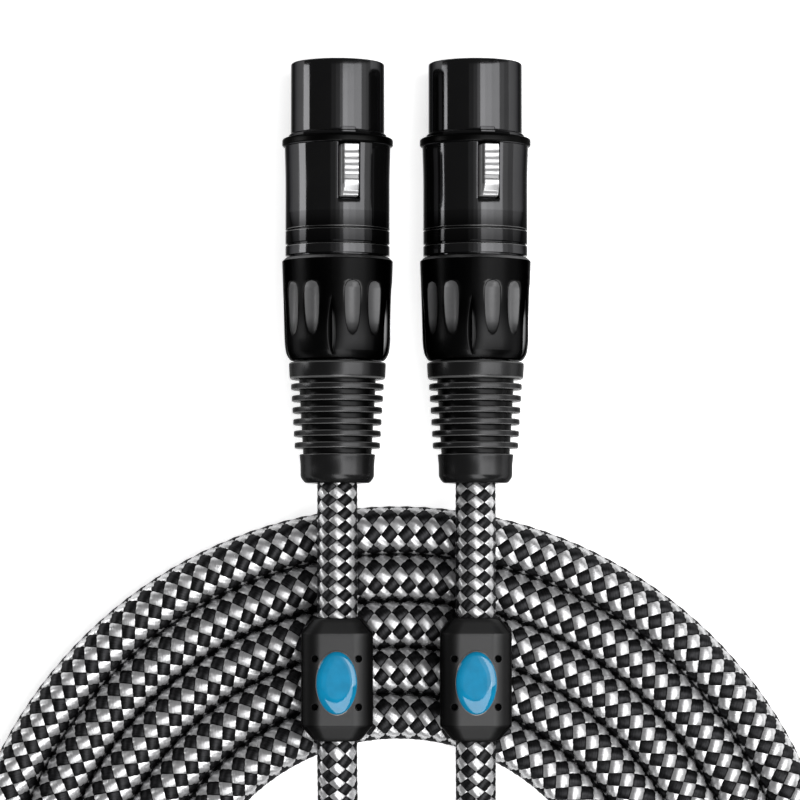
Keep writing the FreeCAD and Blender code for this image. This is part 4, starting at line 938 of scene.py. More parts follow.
def shell_mesh(name, side):
    """The turned shell: its profile carried round the axis, with a window and two slots.

    The columns of the grid follow the sides of the openings, so their cells are left out and
    walls join the outer and the inner surface there.
    """
    sizes = bpy.context.scene.connector_sizes
    easing = 0.16 * MM
    ring, body, thread = sizes.ring / MM, sizes.body / MM, sizes.thread / MM
    nose, neck = sizes.nose / MM, sizes.neck / MM
    corners = [
        (0, nose - 0.16, 0), (0.16, nose, 0.12), (neck + 0.66, nose, 0.08),
        (neck + 0.86, nose + 0.35, 0.06), (neck + 1.38, nose + 0.42, 0.03),
        (neck + 1.42, ring - 0.4, 0.1), (neck + 1.62, ring - 0.02, 0.25),
        (neck + 2.66, ring - 0.02, 0.2), (neck + 2.88, ring - 0.3, 0.12),
        (neck + 2.92, body + 0.15, 0.03), (neck + 7.9, body, 2.0),
    ]
    for start, width, depth in ((neck + 17.0, 0.3, 0.2), (neck + 19.4, 0.42, 0.24)):
        corners += [
            (start, body, 0.07), (start + 0.06, body - depth, 0.04),
            (start + width - 0.06, body - depth, 0.04), (start + width, body, 0.07),
        ]
    corners += [
        (neck + 21.4, body, 0.06), (neck + 21.42, body - 0.3, 0.03), (neck + 21.44, thread, 0.0),
    ]
    for turn in range(9):
        start = neck + 22.0 + turn
        corners += [(start, thread, 0.12), (start + 0.5, thread - 0.15, 0.12)]
    corners += [(neck + 31.1, thread, 0.1), (neck + 31.4, thread - 0.25, 0)]
    profile = eased(corners)
    window = ((neck + 2.9) * MM, (neck + 12.4) * MM)
    slot, key = ((neck + 0.2) * MM, (neck + 1.1) * MM), (-1 * MM, 8.0 * MM)
    edges = [
        place + shift
        for place in (*window, *slot, key[1])
        for shift in np.array((-1, -0.6, -0.25, 0, 0.25, 0.6, 1)) * easing
    ]
    along = steps_between(np.concatenate((profile[:, 0], edges)), 0.9 * MM)
    outer = np.interp(along, profile[:, 0], profile[:, 1])
    inner = np.full_like(along, sizes.bore)
    inner[along < 0.45 * MM] -= 0.35 * MM

    half_window = np.interp(
        along / MM, (neck + 1.6, neck + 2.5), (1.25 * MM, sizes.window_width / 2)
    )
    half_key = np.full_like(along, 1.2 * MM)
    window_cells, key_cells, side_cells = 6, 4, 67
    easings = np.array((0.25, 0.6, 1)) * easing

    def columns_at(radius):
        """Angles of the columns on one side, from the latch's line to the key's line."""
        top = half_window[:, None] * np.linspace(0, 1, window_cells + 1)
        top = np.hstack((top, half_window[:, None] + easings))
        bottom = half_key[:, None] * np.linspace(0, 1, key_cells + 1)
        bottom = np.hstack((bottom, half_key[:, None] + easings))
        top = np.arcsin(top / radius[:, None])
        bottom = math.pi - np.arcsin(bottom / radius[:, None])[:, ::-1]
        return np.hstack((top, columns_between(top, bottom, side_cells), bottom))

    sheets = []
    for radius in (outer, inner):
        right = columns_at(radius)
        angle = np.hstack((right, -right[:, -2:0:-1]))
        radius = np.broadcast_to(radius[:, None], angle.shape)
        if not sheets:
            across = radius * np.sin(angle)
            place = np.broadcast_to(along[:, None], angle.shape)
            top = np.cos(angle) > 0
            drop = opening_edge(across, place, half_window[:, None], *window, easing)
            tooth = opening_edge(across, place, half_window[:, None], *slot, 0.03 * MM)
            drop = np.maximum(drop, tooth)
            low = opening_edge(across, place, half_key[:, None], *key, easing)
            radius = radius - np.where(top, drop, low)
        sheets.append(turned(along[:, None], radius, angle))
    rows, columns = sheets[0].shape[:2]
    points = np.vstack((sheets[0], sheets[1][::-1]))
    half = columns // 2
    quads = grid_quads(2 * rows, columns, wrap_rows=True)
    middle = (along[:-1] + along[1:]) / 2
    row_of = np.concatenate((np.arange(rows - 1), (-1,), np.arange(rows - 2, -1, -1), (-2,)))
    column = np.arange(columns)
    open_top = (column < window_cells) | (column >= columns - window_cells)
    open_bottom = (column >= half - key_cells) & (column < half + key_cells)

    def within(span):
        """Whether each row of cells, outside and inside, lies in a span along the shell."""
        inside = (middle > span[0]) & (middle < span[1])
        return np.where(row_of >= 0, inside[row_of], False)

    gone = (within(window) | within(slot))[:, None] & open_top
    front_face = row_of == -2
    gone |= (within(key) | front_face)[:, None] & open_bottom
    kept = [quads[~gone]]

    number = np.arange(2 * rows * columns).reshape(2 * rows, columns)
    outside, inside = number[:rows], number[rows:][::-1]
    for span, reach, centre in (
        (window, window_cells, 0), (slot, window_cells, 0), (key, key_cells, half)
    ):
        first = max(0, int(np.argmin(np.abs(along - span[0]))))
        last = int(np.argmin(np.abs(along - span[1])))
        for edge in (centre - reach, centre + reach):
            kept.append(strip_quads(outside[first:last + 1, edge], inside[first:last + 1, edge]))
        arc = np.arange(centre - reach, centre + reach + 1) % columns
        ends = (last,) if span is key else (first, last)
        for end in ends:
            kept.append(strip_quads(outside[end, arc], inside[end, arc]))
    mesh = make_mesh(name, connector_places(points, side), np.vstack(kept), outwards=True)
    add_turned_map(mesh, side)
    return mesh


def boxed_loop(half_width, bottom, top, corner, steps=4):
    """Rounded rectangles across a connector, one for each row, from arrays of their sizes."""
    turn = np.linspace(0, math.pi / 2, steps + 1)
    loops = []
    for quarter, (x_sign, z_sign) in enumerate(((1, 1), (-1, 1), (-1, -1), (1, -1))):
        angle = turn + quarter * math.pi / 2
        across = x_sign * (half_width - corner)[:, None] + corner[:, None] * np.cos(angle)
        edge = top if z_sign > 0 else bottom
        height = (edge - z_sign * corner)[:, None] + corner[:, None] * np.sin(angle)
        loops.append(np.stack((across, height), axis=-1))
    return np.concatenate(loops, axis=1)


def capped_mesh(name, loops, along, side):
    """A solid through loops at stations along the connector, shrunk to a point at both ends."""
    columns = loops.shape[1]
    ends = loops[[0, -1]].mean(axis=1, keepdims=True)
    first, last = (np.repeat(end[None], columns, 1) for end in ends)
    loops = np.concatenate((first, loops, last))
    along = np.concatenate((along[:1], along, along[-1:]))
    places = np.broadcast_to(along[:, None], loops.shape[:2])
    points = np.stack((loops[..., 0], places, loops[..., 1]), axis=-1)
    quads = grid_quads(*points.shape[:2])
    return make_mesh(name, connector_places(points, side), quads, outwards=True)


def button_mesh(name, side):
    """The latch's button: ridges across it, a trough, a slope and a lip; its sides lean in.

    The height of its top is lowered by a bell-shaped curve at each of four valleys, and by
    straight ramps at the trough, the slope and the lip. Its width grows evenly downwards.
    """
    sizes = bpy.context.scene.connector_sizes
    front = sizes.neck / MM + 3.35
    knots = front + np.array((0, 0.05, 0.15, 0.3, 7.97, 8.37, 8.6, 8.66, 8.7))
    along = steps_between(knots * MM, 0.045 * MM)
    behind = along / MM - front
    valley = np.abs(behind[:, None] - np.array((1.3, 2.4, 3.4, 4.4)))
    top = sizes.button_top / MM - 0.2 * np.exp(-((valley / 0.2) ** 2)).sum(axis=1)
    trough = np.clip((behind - 5.15) / 0.22, 0, 1) * np.clip((6.15 - behind) / 0.22, 0, 1)
    top = top - 0.26 * trough
    top = top - np.clip((behind - 6.75) / 1.1, 0, 1) * 0.62
    top = top - np.clip((behind - 7.97) / 0.4, 0, 1) * 0.4
    ends = np.minimum(behind, 8.7 - behind)
    top = top - 0.25 * np.clip(1 - ends / 0.15, 0, 1) ** 2
    half_width = sizes.button_width / 2 - 0.1 * MM * np.clip(1 - ends / 0.2, 0, 1) ** 2
    corner = np.full_like(along, 0.14 * MM)
    low = np.full_like(along, 6.3 * MM)
    loops = boxed_loop(half_width, low, top * MM, corner)
    loops[..., 0] *= 1 + 0.45 * (sizes.button_top - loops[..., 1]) / (4.4 * MM)
    mesh = capped_mesh(name, loops, along, side)
    _, along, up = connector_axes(mesh, side)
    add_map(mesh, "button", np.column_stack((sizes.button_top - up, along - front * MM)) / MM)
    return mesh


def lever_mesh(name, side):
    """The latch's lever under the shell, with the tooth whose top lies flush with the neck.

    The tooth's top falls with the square of the distance from its middle, as the neck does.
    """
    sizes = bpy.context.scene.connector_sizes
    neck = sizes.neck / MM
    knots = neck + np.array((0.22, 0.23, 0.66, 0.86, 1.07, 1.08, 1.12, 13.2, 13.25, 14.9))
    along = steps_between(knots * MM, 0.3 * MM)
    place = along / MM - neck
    tooth = place < 1.1
    half_width = np.where(tooth, 1.22, 1.6) * MM
    outline = sizes.nose / MM - 0.01 + 0.35 * np.clip((place - 0.66) / 0.2, 0, 1)
    top = np.where(tooth, outline, 6.75) * MM
    low = np.full_like(along, 5.95 * MM)
    loops = boxed_loop(half_width, low, top, np.full_like(along, 0.02 * MM), 3)
    flat = np.linspace(0.95, -0.95, 9)
    crown = np.stack((half_width[:, None] * flat, np.repeat(top[:, None], 9, 1)), axis=-1)
    loops = np.concatenate((loops[:, :4], crown, loops[:, 4:]), axis=1)
    crowned = tooth[:, None] & (loops[..., 1] > 7 * MM)
    loops[..., 1] -= np.where(crowned, loops[..., 0] ** 2 / (2 * sizes.nose), 0)
    mesh = capped_mesh(name, loops, along, side)
    add_turned_map(mesh, side)
    return mesh


def nut_mesh(name, side):
    """The fluted grip nut: a bell whose radius is lowered by wedges and scoops.

    A wedge is the V that a wheel cuts: its depth falls in a straight line from its middle to its
    edges, and its middle follows the wheel's rim. A scoop is the mark of a drop-shaped cutter whose
    axis lies outside the nut. The columns follow the edges of both. The map "flutes" holds how
    deep a point lies in a scoop, or with a minus sign on one flank of a wedge, as a share of its
    depth, and its place along the nut.
    """
    sizes = bpy.context.scene.connector_sizes
    front = sizes.nut_front / MM
    rear = front + sizes.nut_length / MM
    waist = sizes.waist / MM
    bell = eased([
        (front + 0.14, 8.74, 0), (front + 0.18, 8.8, 0.03), (front + 0.74, 9.40, 0.1),
        (front + 8.8, waist, 3.0), (rear - 2.6, 8.95, 1.2), (rear - 1.0, 8.66, 0.6),
        (rear - 0.05, 8.0, 0.25), (rear, 7.6, 0),
    ])
    along = steps_between(np.append(bell[:, 0], (front + 4.0) * MM), 0.13 * MM)
    base = np.interp(along, bell[:, 0], bell[:, 1])

    wedge_middle = (front + 13.6) * MM
    half_length = 6.1 * MM
    slope = sizes.wedge_width / 2 / sizes.wedge_depth
    wheel = (half_length ** 2 + sizes.wedge_depth ** 2) / (2 * sizes.wedge_depth)
    reach = np.minimum(np.abs(along - wedge_middle), wheel)
    tip = sizes.waist - sizes.wedge_depth + wheel - np.sqrt(wheel ** 2 - reach ** 2)
    wedge = base - tip
    half_wedge = np.maximum(wedge * slope, 0.06 * MM)

    cutter_axis = sizes.waist + 1.58 * MM
    share = (along - (front + 4.5) * MM) / sizes.scoop_length
    drop = (
        (0, 0.04, 0.12, 0.25, 0.41, 0.59, 0.77, 0.91, 1),
        (0.66, 0.84, 0.96, 1, 1.01, 1.0, 0.96, 0.87, 0.76),
    )
    cutter = sizes.scoop_radius * np.interp(share, *drop, left=0, right=0)
    crossing = (cutter_axis ** 2 + cutter ** 2 - base ** 2) / (2 * cutter_axis)
    half_scoop = np.sqrt(np.maximum(cutter ** 2 - crossing ** 2, (0.12 * MM) ** 2))

    group = math.tau / sizes.groups
    scoop_turn = group * 22.5 / 72
    in_wedge = np.array((0, 0.06, 0.2, 0.5, 0.8, 0.93, 1.0, 1.07, 1.2))
    in_scoop = np.concatenate((
        (-1.12, -1.04, -1, -0.96), np.linspace(-0.9, 0.9, 13), (0.96, 1, 1.04, 1.12)
    ))
    wedge_angle = (half_wedge / base)[:, None] * in_wedge
    scoop_angle = scoop_turn + (half_scoop / base)[:, None] * in_scoop
    group_edge = np.full((len(along), 1), group / 2)
    first_gap = columns_between(wedge_angle, scoop_angle, 4)
    last_gap = columns_between(scoop_angle, group_edge, 4)
    half = np.hstack((wedge_angle, first_gap, scoop_angle, last_gap, group_edge))
    angle = np.hstack((-half[:, -2:0:-1], half))

    across_wedge = base[:, None] * np.abs(angle)
    wedge_cut = raised(wedge[:, None] - across_wedge / slope, 0.09 * MM)
    across = base[:, None] * (np.abs(angle) - scoop_turn)
    chord = np.sqrt(np.maximum(cutter[:, None] ** 2 - across ** 2, 0))
    scoop_cut = raised(base[:, None] - np.hypot(cutter_axis - chord, across), 0.05 * MM)
    radius = base[:, None] - wedge_cut - scoop_cut
    depth = np.clip(scoop_cut / (0.55 * MM), 0, 1)
    # The flank of a wedge that gets a painted highlight, marked in the map with a minus sign
    flank = raised(wedge[:, None] - across_wedge / slope, 0.3 * MM) / (0.9 * MM)
    depth = depth - np.clip(flank, 0, 1) * (angle > 0) * (np.abs(angle) < scoop_turn * 0.5)
    starts = group * np.arange(sizes.groups)
    outside = np.hstack([turned(along[:, None], radius, angle + start) for start in starts])
    turns = np.hstack([angle[-1] + start for start in starts])
    bore = np.array((
        (rear, 6.1), (rear - 0.1, 6.0), (rear - 2.7, 6.0), (rear - 2.7, 7.3),
        (front + 10.8, 7.3), (front + 10.8, 8.07), (front + 0.25, 8.07), (front, 8.3),
    )) * MM
    inside = turned(bore[:, :1], bore[:, 1:], turns[None])
    points = np.vstack((outside, inside))
    rows, columns = points.shape[:2]
    flutes = np.zeros((rows, columns, 2))
    flutes[:len(along), :, 0] = np.tile(depth, sizes.groups)
    flutes[:len(along), :, 1] = ((along / MM - front) / (rear - front))[:, None]
    quads = grid_quads(rows, columns, wrap_rows=True)
    points = connector_places(points, side, sizes.roll - sizes.nut_turn)
    mesh = make_mesh(name, points, quads, welded=False)
    add_map(mesh, "flutes", flutes.reshape(-1, 2))
    return mesh


def boot_mesh(name, side):
    """The ribbed boot, its profile turned about the axis.

    It has a collar, ribs whose radius falls evenly from one to the next, and a rounded end ring.
    """
    sizes = bpy.context.scene.connector_sizes
    collar, ribs, end = sizes.collar / MM, sizes.ribs / MM, sizes.end / MM
    spacing, width = sizes.rib_spacing / MM, sizes.rib_width / MM
    zone = sizes.rib_count * spacing
    corners = [
        (collar - 4.8, 3.55, 0), (collar - 4.8, 6.8, 0), (collar - 3.1, 6.8, 0),
        (collar - 3.1, 5.7, 0), (collar, 5.7, 0),
        (collar, 8.25, 0.4), (collar + 2.9, 8.1, 0.5), (collar + 2.9, 6.5, 0.12),
    ]
    for rib in range(sizes.rib_count):
        start = ribs + rib * spacing
        radius = 7.87 - 0.62 * rib / max(1, sizes.rib_count - 1)
        corners += [
            (start, 6.5 - 0.7 * (start - ribs) / zone, 0.14), (start + 0.02, radius, 0.24),
            (start + width, radius, 0.24),
            (start + width + 0.02, 6.5 - 0.7 * (start + width - ribs) / zone, 0.14),
        ]
    tail = ribs + zone
    corners += [
        (tail, 5.8, 0.14), (tail + 0.02, 6.45, 0.2), (tail + 1.6, 6.24, 1.0),
        (tail + 3.9, 6.24, 0.5), (end - 0.08, 5.5, 0.3), (end, 3.9, 0.2), (end - 0.6, 3.6, 0),
    ]
    profile = eased(corners, steps=4)
    angle = np.arange(160) * math.tau / 160
    points = turned(profile[:, :1], profile[:, 1:], angle[None])
    quads = grid_quads(len(profile), len(angle), wrap_rows=True)
    mesh = make_mesh(name, connector_places(points, side), quads, welded=False)
    # Masks of painted light: a highlight on the outer edges, shade in the gaps between the ribs
    between = (profile[:, 0] > (collar + 2.95) * MM) & (profile[:, 0] < tail * MM)
    rib_gap_shade = between * np.clip((7.1 - profile[:, 1] / MM) / 0.3, 0, 1)
    worn = np.column_stack((worn_edges(profile), rib_gap_shade))
    add_map(mesh, "worn", np.repeat(worn, len(angle), axis=0))
    return mesh


# Places in the square patch of a housing's grid round a screw hole, from the hole's middle
HOLE_PATCH = np.linspace(-0.85, 0.85, 9) * MM


def housing_place(side):
    """The middle of a badge housing."""
    scene = bpy.context.scene
    across = side * scene.connector_sizes.spacing / 2
    return np.array((across, scene.housing_sizes.middle_y, scene.cable_sizes.level))


def section_angles(sizes):
    """Angles round a rounded corner of the housing, with the edges of the screw holes' patches."""
    flat = sizes.width / 2 - sizes.corner
    patch = np.arcsin((sizes.hole_x + HOLE_PATCH[[0, -1]] - flat) / sizes.corner)
    inner = np.linspace(*patch, len(HOLE_PATCH))
    outer = np.linspace(patch[1], math.pi / 2, 9)[1:]
    return np.concatenate(((0,), inner, outer))


def screw_hole(edge, centre):
    """Rings of points from the edge of a square patch to a screw hole, down it and to its middle.

    The first rings change from the square to the hole's circle. Their height is that of the
    housing's top: flat, then a quarter of a circle round the long edge.
    """
    sizes = bpy.context.scene.housing_sizes
    out = unit(edge[:, :2] - centre)
    lip = centre + out * (sizes.hole + 0.12 * MM)
    rings = [(edge[:, :2] * (1 - share) + lip * share, 0.0) for share in (0.4, 0.75, 1.0)]
    for wider, depth in ((0.06, 0.03), (0.02, 0.08), (0.0, 0.16), (0.0, 1.31), (-0.5, 1.31)):
        rings.append((centre + out * (sizes.hole + wider * MM), depth * MM))
    sheet = []
    for spot, depth in rings:
        rounded = np.maximum(np.abs(spot[:, 0]) - (sizes.width / 2 - sizes.corner), 0)
        height = sizes.thickness / 2 - sizes.corner + np.sqrt(sizes.corner ** 2 - rounded ** 2)
        sheet.append(np.column_stack((spot, height - depth)))
    bottom = (*centre, sheet[-1][:, 2].mean())
    return np.array([*sheet, np.broadcast_to(bottom, sheet[-1].shape)])


def housing_mesh(name, side):
    """The badge housing: rounded sections along the cable, four screw holes and a bore.

    A section is a rectangle with rounded corners. It gets smaller in a straight line from the
    shoulder to the end. Round each screw hole a square patch of the grid is left open for the
    rings of the hole.
    """
    sizes = bpy.context.scene.housing_sizes
    half_length = sizes.length / 2
    shoulder = half_length - sizes.taper
    soft, blunt = 0.08 * MM, 0.3 * MM
    knots = np.array((
        0, 0.5 * MM, shoulder - soft, shoulder, shoulder + soft, half_length - 0.25 * MM,
        half_length - 0.1 * MM, half_length,
    ))
    hole_rows = [sign * sizes.hole_y - sizes.badge_shift for sign in (1, -1)]
    patches = [middle + HOLE_PATCH for middle in hole_rows]
    along = steps_between(np.concatenate((knots, -knots, *patches)), 0.6 * MM)

    narrowing = raised(np.abs(along) - shoulder, 0.04 * MM) / sizes.taper
    near_end = np.clip(1 - (half_length - np.abs(along)) / blunt, 0, 1)
    end_edge = blunt * (1 - np.sqrt(1 - near_end ** 2))
    half_width = sizes.width / 2 - sizes.inset * narrowing - end_edge
    half_height = sizes.thickness / 2 - sizes.drop * narrowing - end_edge
    corner = sizes.corner - sizes.drop * narrowing
    angle = section_angles(sizes)
    flat = np.linspace(0, 1, 8)[:-1]
    width, height, corner = half_width[:, None], half_height[:, None], corner[:, None]
    quarter_x = np.hstack(((width - corner) * flat, width - corner + corner * np.sin(angle)))
    quarter_z = np.hstack((height + 0 * flat, height - corner + corner * np.cos(angle)))
    loop_x = np.hstack((quarter_x, quarter_x[:, ::-1], -quarter_x[:, 1:], -quarter_x[:, :0:-1]))
    loop_z = np.hstack((quarter_z, -quarter_z[:, ::-1], -quarter_z[:, 1:], quarter_z[:, :0:-1]))
    rows, columns = loop_x.shape
    places = np.broadcast_to(along[:, None], loop_x.shape)
    points = np.stack((loop_x, places, loop_z), axis=-1).reshape(-1, 3)
    number = np.arange(rows * columns).reshape(rows, columns)
    quads = grid_quads(rows, columns)

    gone = np.zeros(quads.shape[:2], bool)
    faces = []
    right = len(flat) + 1 + np.arange(len(HOLE_PATCH))
    left = (columns - right)[::-1]
    for x_sign, patch_columns in ((1, right), (-1, left)):
        for middle in hole_rows:
            row = int(np.argmin(np.abs(along - (middle + HOLE_PATCH[0]))))
            patch = number[row:row + len(HOLE_PATCH), patch_columns]
            gone[row:row + len(HOLE_PATCH) - 1, patch_columns[0]:patch_columns[-1]] = True
            square = np.concatenate((patch[0], patch[1:, -1], patch[-1, -2::-1], patch[-2:0:-1, 0]))
            sheet = screw_hole(points[square], np.array((x_sign * sizes.hole_x, middle)))
            rings = len(points) + np.arange(sheet[..., 0].size).reshape(sheet.shape[:2])
            faces += ring_quads(np.vstack((square, rings)))
            points = np.vstack((points, sheet.reshape(-1, 3)))

    turn = np.arctan2(loop_x[0], loop_z[0])
    bore, lip = 3.44 * MM, 0.2 * MM
    mouth = ((half_length, bore + lip), (half_length - lip, bore))
    tube = [(-place, radius) for place, radius in mouth] + [*reversed(mouth)]
    rings = len(points) + np.arange(len(tube) * columns).reshape(-1, columns)
    faces += ring_quads(np.vstack((number[0], rings, number[-1])))
    tube = [turned(place, radius, -turn) for place, radius in tube]
    points = np.vstack((points, *tube)) + housing_place(side)
    faces = np.vstack((quads[~gone], *faces))
    mesh = make_mesh(name, points, faces, outwards=True)
    add_map(mesh, "plan", (vertices_of(mesh) - housing_place(side))[:, :2] / MM)
    return mesh


def badge_mesh(name, side):
    """The oval badge: a rim that stands up a little, then a low dome over the whole oval.

    Its profile holds shares of the oval and heights above the recess in millimetres. The dome is
    the root of one less the sixth power of the share.
    """
    sizes = bpy.context.scene.housing_sizes
    base = sizes.thickness / 2 - sizes.badge_sunk
    profile = np.array([
        (0.0, 0.0), (0.995, 0.0), (1.0, 0.05), (1.0, 0.48), (0.997, 0.53), (0.988, 0.56),
        (0.975, 0.56), (0.968, 0.53),
    ])
    share = np.linspace(0.96, 0, 40)
    dome = 0.5 + 0.6 * sizes.badge_dome / MM * np.sqrt(np.clip(1 - (share / 0.968) ** 6, 0, 1))
    profile = np.vstack((profile, np.column_stack((share, dome))))
    angle = np.arange(128) * math.tau / 128
    across = profile[:, :1] * sizes.badge_width / 2 * np.cos(angle)
    along = profile[:, :1] * sizes.badge_length / 2 * np.sin(angle)
    height = base + profile[:, 1:] * MM + 0 * angle
    middle = housing_place(side) - np.array((0, sizes.badge_shift, 0))
    points = np.stack((across, along, height), axis=-1) + middle
    mesh = make_mesh(name, points, grid_quads(len(profile), len(angle)), outwards=True)
    places = vertices_of(mesh) - middle
    share = np.hypot(places[:, 0] / sizes.badge_width, places[:, 1] / sizes.badge_length) * 2
    add_map(mesh, "oval", np.column_stack((share, places[:, 2] / MM)))
    return mesh


class CABLE_OT_turned_shells(bpy.types.Operator):
    """Turns the two metal shells with their windows and slots"""

    bl_idname = "cable.turned_shells"
    bl_label = "Turned Shells"

    def execute(self, context):
        paint = shell_chrome("black_paint", context.scene.finishes.paint)
        add_pairs((shell_mesh, "turned_shell", "cable", "black_paint", paint, "shell"))
        return {"FINISHED"}


class CABLE_OT_latches(bpy.types.Operator):
    """Makes the two latches: a bright ridged button on a black lever"""

    bl_idname = "cable.latches"
    bl_label = "Latches"

    def execute(self, context):
        steel = brushed_steel("latch_steel", context.scene.finishes.steel)
        black = shell_chrome("lever_chrome", shaded(context.scene.finishes.paint, 0.7))
        add_pairs(
            (button_mesh, "ridged_button", "latch_", "latch_steel", steel, "latch"),
            (lever_mesh, "latch_lever", "latch_", "black_paint", black, "latch"),
        )
        return {"FINISHED"}


class CABLE_OT_grip_nuts(bpy.types.Operator):
    """Cuts the two fluted grip nuts"""

    bl_idname = "cable.grip_nuts"
    bl_label = "Grip Nuts"

    def execute(self, context):
        paint = fluted_paint("nut_paint", context.scene.finishes.nut)
        add_pairs((nut_mesh, "fluted_nut", "grip_nut_", "nut_paint", paint, "grip_nut"))
        return {"FINISHED"}


class CABLE_OT_boots(bpy.types.Operator):
    """Moulds the two ribbed boots"""

    bl_idname = "cable.boots"
    bl_label = "Boots"

    def execute(self, context):
        rubber = boot_rubber("boot_rubber", context.scene.finishes.boot)
        add_pairs((boot_mesh, "ribbed_boot", "boot_", "boot_rubber", rubber, "boot"))
        return {"FINISHED"}


class CABLE_OT_badge_housings(bpy.types.Operator):
    """Moulds the two badge housings and their bare oval badges"""

    bl_idname = "cable.badge_housings"
    bl_label = "Badge Housings"

    def execute(self, context):
        plastic = satin_plastic("housing", context.scene.finishes.housing)
        enamel = badge_enamel("badge_blue", context.scene.finishes.badge)
        add_pairs(
            (housing_mesh, "moulded_housing", "cable", "housing", plastic, "badge_housing"),
            (badge_mesh, "oval_badge", "cable", "badge_blue", enamel, "badge"),
        )
        return {"FINISHED"}


# Stage


# The arched softbox on the right: its radius, its place and length along the connectors, and its
# strips, each from and to an angle in degrees from straight up, with its radiance
ARCH_RADIUS = 0.64
ARCH_Y = 0.01
ARCH_LENGTH = 0.30
ARCH_STRIPS = (
    (-15, -4, 0.2), (-4, 5, 0.5), (5, 12.5, 1.4), (12.5, 24, 5.9), (24, 40, 5.1), (40, 61, 4.3),
    (61, 74, 1.2), (74, 90, 0.8),
)
# The camera looks straight down; its lens is in millimetres on a sensor 36 mm wide
CAMERA_PLACE = (-1.09 * MM, -21.56 * MM, 589.7 * MM)
CAMERA_LENS = 153.55


class CABLE_OT_stage(bpy.types.Operator):
    """Adds the floor, the lights and the camera"""

    bl_idname = "cable.stage"
    bl_label = "Stage"

    def execute(self, context):
        scene = context.scene
        mesh = bpy.data.meshes.new("floor")
        corners = [(-3, -3, 0), (3, -3, 0), (3, 3, 0), (-3, 3, 0)]
        mesh.from_pydata(corners, [], [(0, 1, 2, 3)])
        floor = bpy.data.objects.new("floor", mesh)
        floor.data.materials.append(floor_finish())
        scene.collection.objects.link(floor)

        for number, (inner, outer, radiance) in enumerate(ARCH_STRIPS, start=1):
            middle = math.radians((inner + outer) / 2)
            height = 2 * ARCH_RADIUS * math.tan(math.radians(outer - inner) / 2)
            place = (ARCH_RADIUS * math.sin(middle), ARCH_Y, ARCH_RADIUS * math.cos(middle))
            name = f"right_light_{number}"
            add_lamp(name, place, (0.0, ARCH_Y, 0.0), ARCH_LENGTH, height, radiance)
        add_lamp("left_strip", (-0.30, 0.042, 0.052), (0.0, 0.042, 0.02), 0.08, 0.094, 6.8)
        add_lamp("near_softbox", (0.08, -0.40, 0.50), (0.0, -0.09, 0.0), 0.34, 0.60, 4.4)

        lens = bpy.data.cameras.new("camera")
        lens.lens = CAMERA_LENS
        lens.sensor_width = 36
        camera = bpy.data.objects.new("camera", lens)
        camera.location = CAMERA_PLACE
        scene.collection.objects.link(camera)
        scene.camera = camera
        scene.view_settings.view_transform = "Standard"
        scene.world = pale_world()
        return {"FINISHED"}


def add_lamp(name, place, target, width, height, radiance):
    """A softbox: its power is its radiance times its area times pi."""
    lamp = bpy.data.lights.new(name, "AREA")
    lamp.shape = "RECTANGLE"
    lamp.size = width
    lamp.size_y = height
    lamp.energy = radiance * width * height * math.pi
    holder = bpy.data.objects.new(name, lamp)
    holder.location = place
    direction = Vector(target) - Vector(place)
    holder.rotation_euler = direction.to_track_quat("-Z", "Y").to_euler()
    holder.visible_camera = False
    bpy.context.scene.collection.objects.link(holder)


def floor_finish():
    """A pale floor that the camera and reflections see a little lighter than it is lit."""
    finish = Finish("floor")
    ray = finish.add("ShaderNodeLightPath", output="Is Camera Ray")
    glossy = Shade(finish, ray.socket.node.outputs["Is Glossy Ray"])
    return finish.finished(
        base_color=finish.blend(finish.noise(60), 0.82, 0.85), roughness=0.9,
        emission_color=finish.blend(ray.maths("MAXIMUM", glossy), 0.0, 0.7),
        emission_strength=1.0,
    )


def pale_world():
    """An even dim light all round, which the camera sees as white."""
    world = bpy.data.worlds.new("world")
    world.use_nodes = True
    nodes, links = world.node_tree.nodes, world.node_tree.links
    light = nodes["Background"]
    light.inputs["Color"].default_value = (1, 1, 1, 1)
    light.inputs["Strength"].default_value = 0.10
    white = nodes.new("ShaderNodeBackground")
    ray = nodes.new("ShaderNodeLightPath")
    both = nodes.new("ShaderNodeMixShader")
    links.new(ray.outputs["Is Camera Ray"], both.inputs[0])
    links.new(light.outputs[0], both.inputs[1])
    links.new(white.outputs[0], both.inputs[2])
    links.new(both.outputs[0], nodes["World Output"].inputs["Surface"])
    return world


# Inner pieces, and the add-on itself


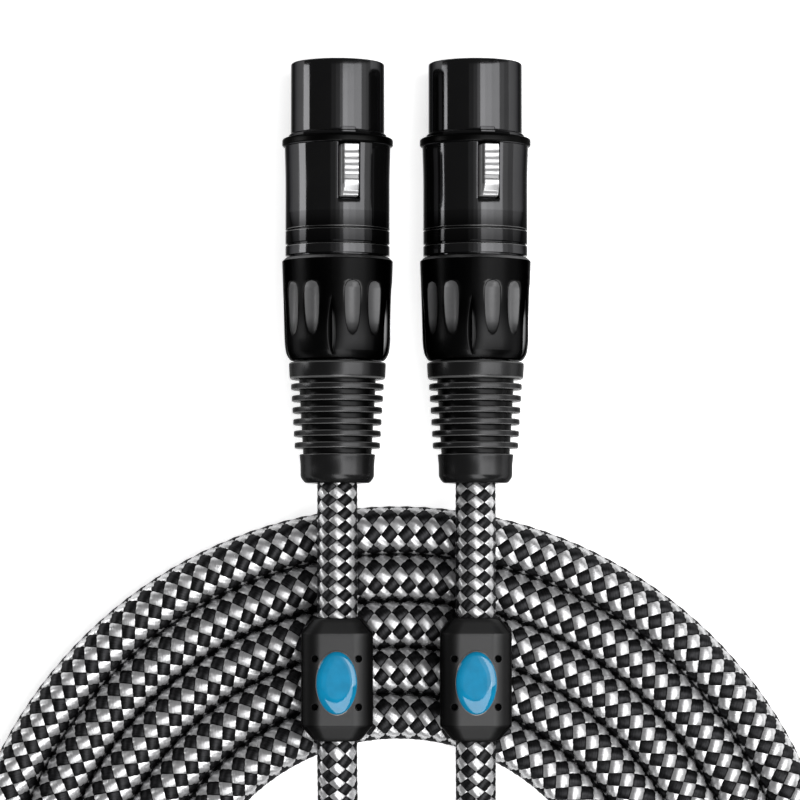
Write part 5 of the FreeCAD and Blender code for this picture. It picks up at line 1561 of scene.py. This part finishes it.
class CABLE_OT_small_parts(bpy.types.Operator):
    """Gives the inserts, contacts, wires, pins, springs, collets and screws their finishes"""

    bl_idname = "cable.small_parts"
    bl_label = "Small Parts"

    def execute(self, context):
        finishes = {
            "insert": moulded_plastic("insert", (0.02, 0.02, 0.022), 0.4),
            "contacts": plain_metal("contact", (0.85, 0.6, 0.25), 2200, 0.2),
            "core_wires": moulded_plastic("core_wire", (0.7, 0.7, 0.68), 0.35),
            "latch_pin": plain_metal("pin_steel", (0.55, 0.55, 0.56), 3000, 0.26),
            "latch_spring": plain_metal("spring_steel", (0.5, 0.5, 0.51), 3000, 0.26),
            "collet": moulded_plastic("collet", (0.6, 0.6, 0.58), 0.4),
            # The screws' near-black with almost no shine is painted shade, so that they read as the
            # dark holes they sit in
            "housing_screws": moulded_plastic("screw", (0.0015, 0.0015, 0.0016), 0.7, 0.03),
        }
        for name, material in finishes.items():
            for tag in SIDES:
                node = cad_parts[f"{name}_{tag}"]
                node.data.materials.clear()
                node.data.materials.append(material)
        return {"FINISHED"}


class CABLE_PT_pieces(bpy.types.Panel):
    """Lists the pieces with their sizes and colours"""

    bl_idname = "CABLE_PT_pieces"
    bl_label = "Microphone Cable"
    bl_space_type = "VIEW_3D"
    bl_region_type = "UI"
    bl_category = "Cable"

    def draw(self, context):
        layout = self.layout
        for operator in OPERATORS:
            layout.operator(operator.bl_idname)
        for group in (name for name, _ in GROUPS):
            box = layout.box()
            sizes = getattr(context.scene, group)
            for item in sizes.__annotations__:
                box.prop(sizes, item)


OPERATORS = (
    CABLE_OT_stage, CABLE_OT_badge_housings, CABLE_OT_braided_cable, CABLE_OT_turned_shells,
    CABLE_OT_latches, CABLE_OT_grip_nuts, CABLE_OT_boots, CABLE_OT_small_parts,
)
GROUPS = (
    ("connector_sizes", ConnectorSizes), ("cable_sizes", CableSizes),
    ("housing_sizes", HousingSizes), ("finishes", Finishes),
)
CLASSES = (*(group for _, group in GROUPS), *OPERATORS, CABLE_PT_pieces)


def register():
    """Registers every class and hangs the sizes and colours on the scene."""
    for item in CLASSES:
        bpy.utils.register_class(item)
    for name, group in GROUPS:
        setattr(bpy.types.Scene, name, PointerProperty(type=group))


def unregister():
    """Takes back what register does."""
    for name, _ in GROUPS:
        delattr(bpy.types.Scene, name)
    for item in reversed(CLASSES):
        bpy.utils.unregister_class(item)


def main():
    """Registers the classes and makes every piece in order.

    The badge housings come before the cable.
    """
    register()
    bpy.ops.cable.stage()
    bpy.ops.cable.badge_housings()
    bpy.ops.cable.braided_cable()
    bpy.ops.cable.turned_shells()
    bpy.ops.cable.latches()
    bpy.ops.cable.grip_nuts()
    bpy.ops.cable.boots()
    bpy.ops.cable.small_parts()


if __name__ == "__main__":
    main()
